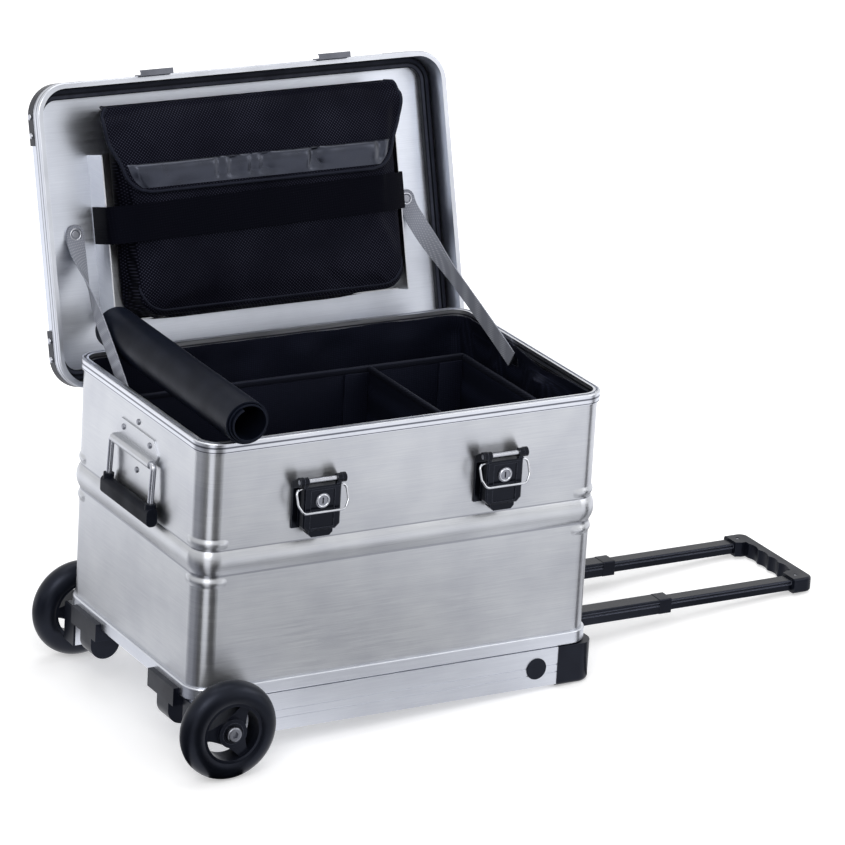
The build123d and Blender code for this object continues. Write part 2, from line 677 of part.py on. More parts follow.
def side_grooves(side, x_range, width):
    """Shallow grooves along both sides of a tube."""
    level = TUBE_LEVEL + TUBE_GROOVE_RISE
    z_range = (level - TUBE_GROOVE_HEIGHT / 2, level + TUBE_GROOVE_HEIGHT / 2)
    cuts = []
    for face in (-1, 1):
        edge = side * TUBE_SPREAD + face * width / 2
        cuts.append(block(x_range, sorted((edge, edge - face * TUBE_GROOVE_DEPTH)), z_range))
    return cuts[0] + cuts[1]


def handle_guide(side):
    """Fixed tube under the floor."""
    return box_tube(side, (GUIDE_START, GUIDE_END), GUIDE_WIDTH, GUIDE_HEIGHT)


def lower_tube(side):
    """First sliding tube, which ends inside its collar."""
    x_range = (GUIDE_END - TUBE_OVERLAP, COLLAR_END - COLLAR_LIP)
    tube = box_tube(side, x_range, LOWER_TUBE_WIDTH, LOWER_TUBE_HEIGHT)
    return tube - side_grooves(side, x_range, LOWER_TUBE_WIDTH)


def tube_collar(side):
    """Plastic sleeve over the end of a lower tube."""
    start = COLLAR_END - COLLAR_LENGTH
    whole = (start, COLLAR_END)
    sleeve = tube_block(side, whole, LOWER_TUBE_WIDTH + 2 * COLLAR_WALL, LOWER_TUBE_HEIGHT + 2 * COLLAR_WALL)
    sleeve = fillet(sleeve.edges().filter_by(Axis.X), TUBE_EDGE + COLLAR_WALL)
    sleeve -= tube_block(side, (start, COLLAR_END - COLLAR_LIP), LOWER_TUBE_WIDTH, LOWER_TUBE_HEIGHT)
    room = 2 * SLIDE_CLEARANCE
    return sleeve - tube_block(side, whole, UPPER_TUBE_WIDTH + room, UPPER_TUBE_HEIGHT + room)


def upper_tube(side):
    """Second sliding tube, fixed in the grip."""
    x_range = (COLLAR_END - TUBE_OVERLAP, GRIP_START + GRIP_SOCKET)
    tube = box_tube(side, x_range, UPPER_TUBE_WIDTH, UPPER_TUBE_HEIGHT)
    return tube - side_grooves(side, (x_range[0], GRIP_START), UPPER_TUBE_WIDTH)


def cross_member(start):
    """Bar between the rails that holds the guide tubes."""
    x_range = (start, start + CROSS_MEMBER_LENGTH)
    foot = TUBE_LEVEL - GUIDE_HEIGHT / 2 - CROSS_MEMBER_MARGIN
    bar = block(x_range, (-RAIL_BACK, RAIL_BACK), (foot, RAIL_TOP))
    for side in SIDES:
        bar -= tube_block(side, x_range, GUIDE_WIDTH, GUIDE_HEIGHT)
    return bar


BUTTON_FLOOR = GRIP_END - (BUTTON_DEPTH - BUTTON_PROUD) - BUTTON_TRAVEL - BUTTON_CLEARANCE


def pull_grip():
    """Bow-shaped grip with finger hollows, tube sockets and a button pocket."""
    outline = slab((GRIP_START, GRIP_END), (-GRIP_HALF, GRIP_HALF))
    palm = (GRIP_HALF - GRIP_LEG, GRIP_END - GRIP_BAR)
    outline -= slab((GRIP_START, palm[1]), (-palm[0], palm[0]))
    for index in range(FINGER_COUNT):
        y = (index - (FINGER_COUNT - 1) / 2) * FINGER_PITCH
        outline -= Pos(palm[1] + FINGER_DEPTH - FINGER_RADIUS, y) * Circle(FINGER_RADIUS)
    outline = fillet(outline.vertices().group_by(Axis.X)[-1], GRIP_CORNER)
    grip = Pos(0, 0, TUBE_LEVEL - GRIP_HEIGHT / 2) * extrude(outline, amount=GRIP_HEIGHT)
    rims = grip.faces().sort_by(Axis.Z)
    edges = rims[0].edges() + rims[-1].edges()
    grip = fillet([edge for edge in edges if edge.center().X > GRIP_END - GRIP_CORNER], GRIP_EDGE)
    top = TUBE_LEVEL + GRIP_HEIGHT / 2
    x = GRIP_START + GRIP_SOCKET / 2
    for side in SIDES:
        y = side * TUBE_SPREAD
        grip -= tube_block(side, (GRIP_START, GRIP_START + GRIP_SOCKET), UPPER_TUBE_WIDTH, UPPER_TUBE_HEIGHT)
        grip -= rod((x, y, top - GRIP_SCREW_RECESS), (x, y, top), GRIP_SCREW_DIAMETER / 2)
    half = (BUTTON_LENGTH / 2 + BUTTON_CLEARANCE, BUTTON_HEIGHT / 2 + BUTTON_CLEARANCE)
    grip -= block((BUTTON_FLOOR, GRIP_END), (-half[0], half[0]), (TUBE_LEVEL - half[1], TUBE_LEVEL + half[1]))
    return grip


def grip_screws():
    """Screw heads sunk in the top of the grip."""
    top = TUBE_LEVEL + GRIP_HEIGHT / 2
    x = GRIP_START + GRIP_SOCKET / 2
    height = GRIP_SCREW_RECESS / 2
    radius = GRIP_SCREW_DIAMETER / 2 - SEAT_CLEARANCE
    foot = top - GRIP_SCREW_RECESS
    return group([rod((x, y, foot), (x, y, foot + height), radius) for y in (-TUBE_SPREAD, TUBE_SPREAD)])


def release_button():
    """Push button in the outer edge of the grip."""
    tip = GRIP_END + BUTTON_PROUD
    button = block((tip - BUTTON_DEPTH, tip), (-BUTTON_LENGTH / 2, BUTTON_LENGTH / 2),
                   (TUBE_LEVEL - BUTTON_HEIGHT / 2, TUBE_LEVEL + BUTTON_HEIGHT / 2))
    return fillet(button.faces().sort_by(Axis.X)[-1].edges(), BUTTON_PROUD / 2)


HANDLE_PIVOT_X = -HALF_LENGTH - HANDLE_PIVOT_OUT
HANDLE_GRIP_X = -HALF_LENGTH - HANDLE_GRIP_OUT
ROD_RADIUS = HANDLE_ROD_DIAMETER / 2
CURL_BORE = ROD_RADIUS + HANDLE_ROD_CLEARANCE


def end_turn(end):
    """Turns a handle built at the wheel end to the other end as well."""
    return Rot(0, 0, 0 if end < 0 else 180)


def handle_plate(end):
    """Riveted plate whose lower edge curls round the bail."""
    half_top = HANDLE_PLATE_HALF_TOP
    points = [(-HANDLE_CURL_HALF, HANDLE_PIVOT_LEVEL), (-HANDLE_PLATE_HALF, HANDLE_PLATE_SHOULDER),
              (-half_top, HANDLE_PLATE_TOP), (half_top, HANDLE_PLATE_TOP),
              (HANDLE_PLATE_HALF, HANDLE_PLATE_SHOULDER), (HANDLE_CURL_HALF, HANDLE_PIVOT_LEVEL)]
    outline = make_face(Polyline(*points, close=True))
    shoulders = [v for v in outline.vertices() if v.Y > HANDLE_PIVOT_LEVEL + ROD_RADIUS]
    outline = fillet(shoulders, ROD_RADIUS)
    wall = Plane(origin=(-HALF_LENGTH, 0, 0), x_dir=(0, -1, 0), z_dir=(-1, 0, 0))
    plate = wall * extrude(outline, amount=HANDLE_PLATE)
    ends = [(HANDLE_PIVOT_X, y, HANDLE_PIVOT_LEVEL) for y in (-HANDLE_CURL_HALF, HANDLE_CURL_HALF)]
    outer = CURL_BORE + HANDLE_CURL_WALL
    bridge = block((HANDLE_PIVOT_X, -HALF_LENGTH), (-HANDLE_CURL_HALF, HANDLE_CURL_HALF),
                   (HANDLE_PIVOT_LEVEL + outer - HANDLE_CURL_WALL, HANDLE_PIVOT_LEVEL + outer))
    plate = plate + rod(*ends, outer) + bridge - rod(*ends, CURL_BORE)
    return end_turn(end) * plate


def handle_bail(end):
    """Two steel rods from the grip, bent inwards at the top into the plate's curl."""
    lean = Vector(HANDLE_GRIP_X - HANDLE_PIVOT_X, 0, HANDLE_GRIP_LEVEL - HANDLE_PIVOT_LEVEL)
    across = Vector(0, 1, 0)
    plane = Plane(origin=(HANDLE_PIVOT_X, 0, HANDLE_PIVOT_LEVEL), x_dir=across, z_dir=across.cross(lean))
    inner = HANDLE_LEG_SPREAD - HANDLE_PIN_LENGTH
    solids = []
    for side in SIDES:
        points = [(side * inner, 0), (side * HANDLE_LEG_SPREAD, 0), (side * HANDLE_LEG_SPREAD, lean.length)]
        solids.append(bent_rod(plane, points, ROD_RADIUS, HANDLE_ROD_BEND))
    return end_turn(end) * group(solids)


def handle_grip(end):
    """Moulded grip with a socket at each end for the bail's legs."""
    half = (HANDLE_GRIP_DEPTH / 2, HANDLE_GRIP_HEIGHT / 2)
    bar = block((HANDLE_GRIP_X - half[0], HANDLE_GRIP_X + half[0]), (-HANDLE_GRIP_HALF, HANDLE_GRIP_HALF),
                (HANDLE_GRIP_LEVEL - half[1], HANDLE_GRIP_LEVEL + half[1]))
    bar = fillet(bar.edges().filter_by(Axis.Y), HANDLE_GRIP_ROUND)
    lean = (HANDLE_GRIP_X - HANDLE_PIVOT_X) / (HANDLE_PIVOT_LEVEL - HANDLE_GRIP_LEVEL)
    for side in SIDES:
        y = side * HANDLE_LEG_SPREAD
        foot = (HANDLE_GRIP_X, y, HANDLE_GRIP_LEVEL)
        rise = (HANDLE_GRIP_X - lean * HANDLE_SOCKET_RISE, y, HANDLE_GRIP_LEVEL + HANDLE_SOCKET_RISE)
        bar += rod(foot, rise, HANDLE_SOCKET_DIAMETER / 2)
    for side in SIDES:
        y = side * HANDLE_LEG_SPREAD
        foot = (HANDLE_GRIP_X, y, HANDLE_GRIP_LEVEL)
        pivot = (HANDLE_PIVOT_X, y, HANDLE_PIVOT_LEVEL)
        bar -= rod(foot, pivot, ROD_RADIUS + SEAT_CLEARANCE)
    return end_turn(end) * bar


def rivet_head(base, outwards):
    """Domed rivet head standing on a surface."""
    plane = Plane(origin=base, z_dir=outwards)
    head = plane * Solid.make_cylinder(RIVET_DIAMETER / 2, RIVET_HEIGHT)
    top = Vector(*base) + Vector(*outwards) * RIVET_HEIGHT
    edges = head.edges().filter_by(GeomType.CIRCLE).sort_by_distance(top)
    return fillet(edges[:1], RIVET_ROUND)


def handle_rivets():
    """Rivets of both end handles, in their plates and in the wall beside them."""
    solids = []
    for end in SIDES:
        for side in SIDES:
            base = (-HALF_LENGTH - HANDLE_PLATE, side * HANDLE_RIVET_SPREAD, HANDLE_RIVET_LEVEL)
            solids.append(end_turn(end) * rivet_head(base, (-1, 0, 0)))
        for drop in (WALL_RIVET_UPPER_DROP, WALL_RIVET_LOWER_DROP):
            base = (-HALF_LENGTH, 0, WALL_HEIGHT - drop)
            solids.append(end_turn(end) * rivet_head(base, (-1, 0, 0)))
    return group(solids)


LATCH_PIN_Y = -HALF_WIDTH - LATCH_PIN_OUT
LATCH_FACE = -HALF_WIDTH - LATCH_PROUD
EAR_INSIDE = LATCH_BASE_HALF - EAR_THICKNESS
PIN_RADIUS = LATCH_PIN_DIAMETER / 2
BAIL_RADIUS = BAIL_WIRE / 2
BAIL_PIVOT = (-HALF_WIDTH - BAIL_PIVOT_OUT, BAIL_PIVOT_LEVEL)


def latch_base(x):
    """Plate on the front wall with two ears for the pin."""
    plate_face = -HALF_WIDTH - LATCH_BASE_PLATE
    base = block((x - LATCH_BASE_HALF, x + LATCH_BASE_HALF), (plate_face, -HALF_WIDTH),
                 (LATCH_BASE_FOOT, LATCH_BASE_TOP))
    arm = make_face(Polyline(
        (-HALF_WIDTH, LATCH_BASE_TOP - EAR_ROOT), (-HALF_WIDTH, LATCH_BASE_TOP),
        (LATCH_PIN_Y, LATCH_PIN_LEVEL + EAR_RADIUS), (LATCH_PIN_Y, LATCH_PIN_LEVEL - EAR_RADIUS), close=True))
    for side in SIDES:
        low, high = sorted((x + side * EAR_INSIDE, x + side * LATCH_BASE_HALF))
        plane = Plane(origin=(low, 0, 0), x_dir=(0, 1, 0), z_dir=(1, 0, 0))
        base += plane * extrude(arm, amount=high - low)
        base += rod((low, LATCH_PIN_Y, LATCH_PIN_LEVEL), (high, LATCH_PIN_Y, LATCH_PIN_LEVEL), EAR_RADIUS)
    ends = [(x + side * LATCH_BASE_HALF, LATCH_PIN_Y, LATCH_PIN_LEVEL) for side in SIDES]
    return base - rod(*ends, PIN_RADIUS + LATCH_FIT)


def latch_pin(x):
    """Steel pin through the ears."""
    ends = [(x + side * LATCH_BASE_HALF, LATCH_PIN_Y, LATCH_PIN_LEVEL) for side in SIDES]
    return rod(*ends, PIN_RADIUS)


def latch_lever(x):
    """Lever hung on the pin by two knuckles, with a stepped tongue and a bore for its lock."""
    back = -HALF_WIDTH - LEVER_BACK
    lever = block((x - LEVER_HALF, x + LEVER_HALF), (LATCH_FACE, back), (LEVER_FOOT, LEVER_TOP))
    lower = lever.edges().filter_by(Axis.Y).sort_by(Axis.Z)[:2]
    lever = chamfer(lower, LEVER_CORNER)
    lever = chamfer(lever.faces().sort_by(Axis.Y)[0].edges(), LEVER_EDGE)
    tongue = block((x - TONGUE_HALF, x + TONGUE_HALF), (LATCH_FACE + TONGUE_STEP, back),
                   (LEVER_FOOT - TONGUE_LENGTH, LEVER_FOOT))
    tongue = chamfer(tongue.edges().filter_by(Axis.Y).sort_by(Axis.Z)[:2], TONGUE_LENGTH / 2)
    lever += tongue
    for side in SIDES:
        near, far = sorted((x + side * (LEVER_HALF - KNUCKLE_LENGTH), x + side * LEVER_HALF))
        knuckle_ends = [(at, LATCH_PIN_Y, LATCH_PIN_LEVEL) for at in (near, far)]
        lever += rod(*knuckle_ends, KNUCKLE_RADIUS)
        lever += block((near, far), (LATCH_PIN_Y - PIN_RADIUS, LATCH_PIN_Y + PIN_RADIUS),
                       (LEVER_TOP, LATCH_PIN_LEVEL))
    ends = [(x + side * LEVER_HALF, LATCH_PIN_Y, LATCH_PIN_LEVEL) for side in SIDES]
    lever -= rod(*ends, PIN_RADIUS + LATCH_FIT)
    lever -= block((x - PANEL_HALF, x + PANEL_HALF), (LATCH_FACE, LATCH_FACE + PANEL_DEPTH),
                   (PANEL_FOOT, PANEL_TOP))
    lever -= rod((x, LATCH_FACE, LOCK_LEVEL), (x, back, LOCK_LEVEL), LOCK_DIAMETER / 2 + LOCK_FIT)
    for side in SIDES:
        ends = [(x + side * at, *BAIL_PIVOT) for at in (LEVER_HALF - BAIL_SEAT, LEVER_HALF)]
        lever -= rod(*ends, BAIL_RADIUS + LATCH_FIT)
    return lever


def latch_bail(x):
    """Wire loop hinged in the lever's sides, hanging in front of it."""
    down = Vector(0, -BAIL_BAR_OUT, -BAIL_BAR_DROP)
    across = Vector(1, 0, 0)
    plane = Plane(origin=(x, *BAIL_PIVOT), x_dir=across, z_dir=across.cross(down))
    seat = LEVER_HALF - BAIL_SEAT
    half = [(seat, 0), (BAIL_HALF, 0), (BAIL_HALF, BAIL_KNEE), (BAIL_BAR_HALF, down.length)]
    route = [(-dx, dy) for dx, dy in half] + half[::-1]
    return bent_rod(plane, route, BAIL_RADIUS, BAIL_BEND)


def lock_cylinder(x):
    """Key lock that turns in the lever."""
    front = LATCH_FACE - LOCK_PROUD
    lock = rod((x, front, LOCK_LEVEL), (x, front + LOCK_LENGTH, LOCK_LEVEL), LOCK_DIAMETER / 2)
    lock -= block((x - KEYWAY_WIDTH / 2, x + KEYWAY_WIDTH / 2), (front, front + KEYWAY_DEPTH),
                  (LOCK_LEVEL - KEYWAY_LENGTH / 2, LOCK_LEVEL + KEYWAY_LENGTH / 2))
    return lock


LID_FACE = LID_TOP - SHEET
LID_INSIDE = LID_WALL_OFFSET - SHEET


def lid_shell():
    """Shallow sheet pan of the lid."""
    foot = LID_LIP_LEVEL + LID_LIP_HEM
    pan = prism(LID_WALL_OFFSET, foot, LID_TOP)
    pan = fillet(pan.faces().sort_by(Axis.Z)[-1].edges(), LID_TOP_EDGE)
    hollow = prism(LID_INSIDE, foot, LID_FACE)
    hollow = fillet(hollow.faces().sort_by(Axis.Z)[-1].edges(), LID_TOP_EDGE - SHEET)
    return pan - hollow


def lid_rim():
    """Deep lip profile round the lid's lower edge."""
    section = slab((LID_WALL_OFFSET, LID_LIP_PROUD), (LID_LIP_LEVEL, LID_LIP_LEVEL + LID_LIP_HEIGHT))
    section += slab((LID_INSIDE, LID_WALL_OFFSET), (LID_LIP_LEVEL, LID_LIP_LEVEL + LID_LIP_HEM))
    section = fillet(corners_near(section, LID_LIP_PROUD, LID_LIP_LEVEL), LID_LIP_ROUND)
    section = fillet(corners_near(section, LID_LIP_PROUD, LID_LIP_LEVEL + LID_LIP_HEIGHT), LID_LIP_ROUND)
    return around(section)


def lid_seal():
    """Rubber seal under the lid's face, above the body's rim."""
    middle = (RIM_PROUD - RIM_INSIDE) / 2
    foot = WALL_HEIGHT + SEAL_CLEARANCE
    section = slab((middle - SEAL_WIDTH / 2, middle + SEAL_WIDTH / 2), (foot, LID_FACE))
    section -= slab((middle - SEAL_GROOVE / 2, middle + SEAL_GROOVE / 2), (foot, foot + SEAL_GROOVE_DEPTH))
    section = fillet(corners_near(section, middle + SEAL_WIDTH / 2, LID_FACE), SEAL_ROUND)
    return around(section)


GUARD_FOOT = LID_LIP_LEVEL + LID_LIP_HEIGHT


def lid_corner_guards():
    """Plastic guards round the four corners of the lid."""
    collar = prism(LID_LIP_PROUD, GUARD_FOOT, GUARD_FOOT + GUARD_HEIGHT)
    collar = chamfer(collar.faces().sort_by(Axis.Z)[-1].edges(), GUARD_EDGE)
    collar -= prism(LID_WALL_OFFSET, GUARD_FOOT, GUARD_FOOT + GUARD_HEIGHT)
    far_x = HALF_LENGTH + LID_LIP_PROUD
    far_y = HALF_WIDTH + LID_LIP_PROUD
    solids = []
    for x in (-1, 1):
        for y in (-1, 1):
            x_range = sorted((x * (far_x - GUARD_LEG), x * far_x))
            y_range = sorted((y * (far_y - GUARD_LEG), y * far_y))
            solids.append(collar & block(x_range, y_range, (GUARD_FOOT, GUARD_FOOT + GUARD_HEIGHT)))
    return group(solids)


def lid_guard_rivets():
    """Two rivets in each corner guard, on the case's end faces."""
    level = GUARD_FOOT + GUARD_HEIGHT / 2
    solids = []
    for x in (-1, 1):
        for y in (-1, 1):
            for inset in GUARD_RIVETS:
                base = (x * (HALF_LENGTH + LID_LIP_PROUD), y * (HALF_WIDTH + LID_LIP_PROUD - inset), level)
                solids.append(rivet_head(base, (x, 0, 0)))
    return group(solids)


def bail_bar_raised():
    """Where the bail's bar lies when it is swung up onto the catch, as (y, z)."""
    swing = math.radians(BAIL_SWING)
    y = -BAIL_BAR_OUT * math.cos(swing) - BAIL_BAR_DROP * math.sin(swing)
    z = BAIL_BAR_OUT * math.sin(swing) - BAIL_BAR_DROP * math.cos(swing)
    return BAIL_PIVOT[0] + y, BAIL_PIVOT[1] + z


def lid_catch(x):
    """Hook on the lid's front lip that the raised bail pulls on."""
    lip = -HALF_WIDTH - LID_LIP_PROUD
    bar_y, bar_z = bail_bar_raised()
    ledge_top = bar_z - BAIL_RADIUS - CATCH_CLEARANCE
    tip_inside = bar_y - BAIL_RADIUS - CATCH_CLEARANCE
    x_range = (x - CATCH_HALF, x + CATCH_HALF)
    hook = block(x_range, (lip - CATCH_PLATE, lip), (ledge_top - CATCH_LEDGE, LID_LIP_LEVEL + CATCH_RISE))
    hook += block(x_range, (tip_inside - CATCH_TIP, lip), (ledge_top - CATCH_LEDGE, ledge_top))
    hook += block(x_range, (tip_inside - CATCH_TIP, tip_inside), (ledge_top - CATCH_LEDGE, bar_z))
    return hook


HINGE_Y = HALF_WIDTH + HINGE_OUT
HINGE_PIN_RADIUS = HINGE_PIN_DIAMETER / 2


def hinge_segments(x):
    """The barrel's three lengths along X: the outer two belong to the body leaf."""
    third = HINGE_LENGTH / 3
    edges = [x - HINGE_LENGTH / 2 + third * step for step in range(4)]
    return list(zip(edges, edges[1:]))


def hinge_body_leaf(x):
    """Leaf riveted to the rear wall, with the two outer barrels."""
    first, _, last = hinge_segments(x)
    leaf = block((first[0], last[1]), (HALF_WIDTH, HALF_WIDTH + HINGE_LEAF),
                 (HINGE_LEVEL - HINGE_LEAF_DROP, HINGE_LEVEL - HINGE_BARREL))
    for low, high in (first, last):
        leaf += rod((low, HINGE_Y, HINGE_LEVEL), (high, HINGE_Y, HINGE_LEVEL), HINGE_BARREL)
        leaf += block((low, high), (HALF_WIDTH, HINGE_Y), (HINGE_LEVEL - HINGE_BARREL, HINGE_LEVEL))
    ends = [(at, HINGE_Y, HINGE_LEVEL) for at in (first[0], last[1])]
    return leaf - rod(*ends, HINGE_PIN_RADIUS + HINGE_FIT)


def hinge_pin(x):
    """Steel pin of one hinge."""
    first, _, last = hinge_segments(x)
    return rod((first[0], HINGE_Y, HINGE_LEVEL), (last[1], HINGE_Y, HINGE_LEVEL), HINGE_PIN_RADIUS)


def hinge_lid_leaf(x):
    """Leaf on the lid's rear lip, cranked in to the middle barrel."""
    low, high = hinge_segments(x)[1]
    low += HINGE_KNUCKLE_GAP
    high -= HINGE_KNUCKLE_GAP
    lip = HALF_WIDTH + LID_LIP_PROUD
    crank = make_face(Polyline(
        (HINGE_Y, HINGE_LEVEL), (HINGE_Y + HINGE_BARREL, HINGE_LEVEL),
        (lip + HINGE_LEAF, LID_LIP_LEVEL - HINGE_LEAF), (lip + HINGE_LEAF, LID_LIP_LEVEL + LID_LIP_HEIGHT),
        (lip, LID_LIP_LEVEL + LID_LIP_HEIGHT), (lip, LID_LIP_LEVEL),
        (HINGE_Y, HINGE_LEVEL + HINGE_BARREL), close=True))
    plane = Plane(origin=(low, 0, 0), x_dir=(0, 1, 0), z_dir=(1, 0, 0))
    leaf = plane * extrude(crank, amount=high - low)
    leaf += rod((low, HINGE_Y, HINGE_LEVEL), (high, HINGE_Y, HINGE_LEVEL), HINGE_BARREL)
    return leaf - rod((low, HINGE_Y, HINGE_LEVEL), (high, HINGE_Y, HINGE_LEVEL), HINGE_PIN_RADIUS + HINGE_FIT)


TRAY_EDGE = LID_FACE - TRAY_DEPTH
POUCH_BACK = LID_FACE - TRAY_SHEET - POUCH_CLEARANCE
POUCH_FACE = LID_FACE - POUCH_DEPTH
FLAP_FACE = POUCH_FACE - POUCH_CLEARANCE - FLAP
STRAP_FACE = FLAP_FACE - POUCH_CLEARANCE - BAND_STRAP


def lid_tray():
    """Sheet tray on the lid's inner face: a base, two side flanges and a rear lip."""
    y_range = (TRAY_FRONT, TRAY_REAR)
    tray = block((-TRAY_HALF, TRAY_HALF), y_range, (LID_FACE - TRAY_SHEET, LID_FACE))
    for side in SIDES:
        x_range = sorted((side * TRAY_HALF, side * (TRAY_HALF - TRAY_SHEET)))
        tray += block(x_range, y_range, (TRAY_EDGE, LID_FACE))
    lip = (TRAY_REAR - TRAY_SHEET, TRAY_REAR)
    return tray + block((-TRAY_HALF, TRAY_HALF), lip, (LID_FACE - TRAY_LIP, LID_FACE))


def pouch():
    """Padded pouch that fills the tray."""
    body = block((-POUCH_HALF, POUCH_HALF), (POUCH_FRONT, POUCH_REAR), (POUCH_FACE, POUCH_BACK))
    return fillet(body.edges().filter_by(Axis.Z) + body.faces().sort_by(Axis.Z)[0].edges(), POUCH_ROUND)


def pouch_flap():
    """Flap over the pouch's front half."""
    front = POUCH_FRONT + POUCH_ROUND
    flap = block((-FLAP_HALF, FLAP_HALF), (front, FLAP_REAR), (FLAP_FACE, FLAP_FACE + FLAP))
    return fillet(flap.edges().filter_by(Axis.Z).sort_by(Axis.Y)[-2:], FLAP_CORNER)


def pouch_strap():
    """Elastic band across the pouch, turned back along the tray's flanges."""
    y_range = (BAND_STRAP_Y - BAND_STRAP_WIDTH / 2, BAND_STRAP_Y + BAND_STRAP_WIDTH / 2)
    inner = TRAY_HALF + POUCH_CLEARANCE
    strap = block((-inner - BAND_STRAP, inner + BAND_STRAP), y_range, (STRAP_FACE, STRAP_FACE + BAND_STRAP))
    for side in SIDES:
        x_range = sorted((side * inner, side * (inner + BAND_STRAP)))
        strap += block(x_range, y_range, (STRAP_FACE, TRAY_EDGE + BAND_STRAP_TAIL))
    return strap


STAY_LID_LEVEL = LID_FACE - STAY_STANDOFF
STAY_WALL_X = HALF_LENGTH - RIM_INSIDE - STAY_WALL_GAP - STAY / 2


def stay_lid_anchor(side):
    """Riveted lug on the lid's inner face that holds a stay."""
    x = side * STAY_LID_X
    y = STAY_LID_Y + (STAY_LUG_LENGTH - STAY_LUG_WIDTH) / 2
    outline = RectangleRounded(STAY_LUG_WIDTH, STAY_LUG_LENGTH, STAY_LUG_WIDTH * 0.45)
    lug = Pos(x, y, LID_FACE - STAY_LUG) * extrude(outline, amount=STAY_LUG)
    face = LID_FACE - STAY_LUG
    rivet_ends = [(x, STAY_LID_Y, level) for level in (face - STAY_RIVET_HEIGHT, face)]
    rivet = rod(*rivet_ends, STAY_RIVET_DIAMETER / 2)
    rivet = fillet(rivet.edges().filter_by(GeomType.CIRCLE).sort_by(Axis.Z)[:1], STAY_RIVET_HEIGHT / 2)
    return lug + rivet


def stay_wall_anchor(side):
    """Plate on the lining that a stay's lower end is fixed to."""
    face = side * (HALF_LENGTH + LINING_INSIDE)
    inner = side * (STAY_WALL_X + STAY)
    return block(sorted((face, inner)), (STAY_WALL_Y - ANCHOR_WIDTH / 2, STAY_WALL_Y + ANCHOR_WIDTH / 2),
                 (STAY_WALL_LEVEL - ANCHOR_HEIGHT / 2, min(STAY_WALL_LEVEL + ANCHOR_HEIGHT / 2, LINING_TOP)))


def opened(shape):
    """Turn a closed lid piece about the hinges to the open position."""
    return Pos(0, HINGE_Y, HINGE_LEVEL) * Rot(-LID_OPENING, 0, 0) * Pos(0, -HINGE_Y, -HINGE_LEVEL) * shape


def opened_point(point):
    """Where a point of the closed lid lies when the lid is open."""
    turn = math.radians(LID_OPENING)
    x, y, z = point
    y -= HINGE_Y
    z -= HINGE_LEVEL
    y_open = y * math.cos(turn) + z * math.sin(turn)
    z_open = z * math.cos(turn) - y * math.sin(turn)
    return x, HINGE_Y + y_open, HINGE_LEVEL + z_open


def stay_strap(side):
    """Webbing strap, tight between the lid's tab and the side wall, with a quarter turn on its way."""
    top = Vector(*opened_point((side * STAY_LID_X, STAY_LID_Y, STAY_LID_LEVEL)))
    foot = Vector(side * STAY_WALL_X, STAY_WALL_Y, STAY_WALL_LEVEL)
    along = top - foot
    flat = Plane(origin=foot, x_dir=Vector(side, 0, 0).cross(along), z_dir=along)
    first, last = STAY_TURN_SPAN
    shares = [first + (last - first) * step / STAY_TURN_STEPS for step in range(STAY_TURN_STEPS + 1)]
    sections = []
    for share in [0, *shares, 1]:
        turned = min(max((share - first) / (last - first), 0), 1)
        angle = -side * STAY_TURN * turned ** 2 * (3 - 2 * turned)
        sections.append(flat * Pos(0, 0, along.length * share) * Rot(0, 0, angle) * Rectangle(STAY_WIDTH, STAY))
    return loft(sections, ruled=True)


def rolled_mat():
    """Rolled mat lying across the front and rear rims."""
    level = WALL_HEIGHT + MAT_REST + MAT_RADIUS
    front = -HALF_WIDTH - MAT_FRONT_OVERHANG
    rear = HALF_WIDTH - RIM_INSIDE + MAT_RIM_COVER
    ends = [(MAT_FRONT_X, front, level), (MAT_REAR_X, rear, level)]
    return rod(*ends, MAT_RADIUS) - rod(*ends, MAT_BORE_RADIUS)


LATCHES = {"left": -LATCH_SPREAD, "right": LATCH_SPREAD}
ENDS = {"wheel_end": -1, "pull_end": 1}
WHEELS = {"front": -1, "rear": 1}
HINGES = (-HINGE_SPREAD, HINGE_SPREAD)


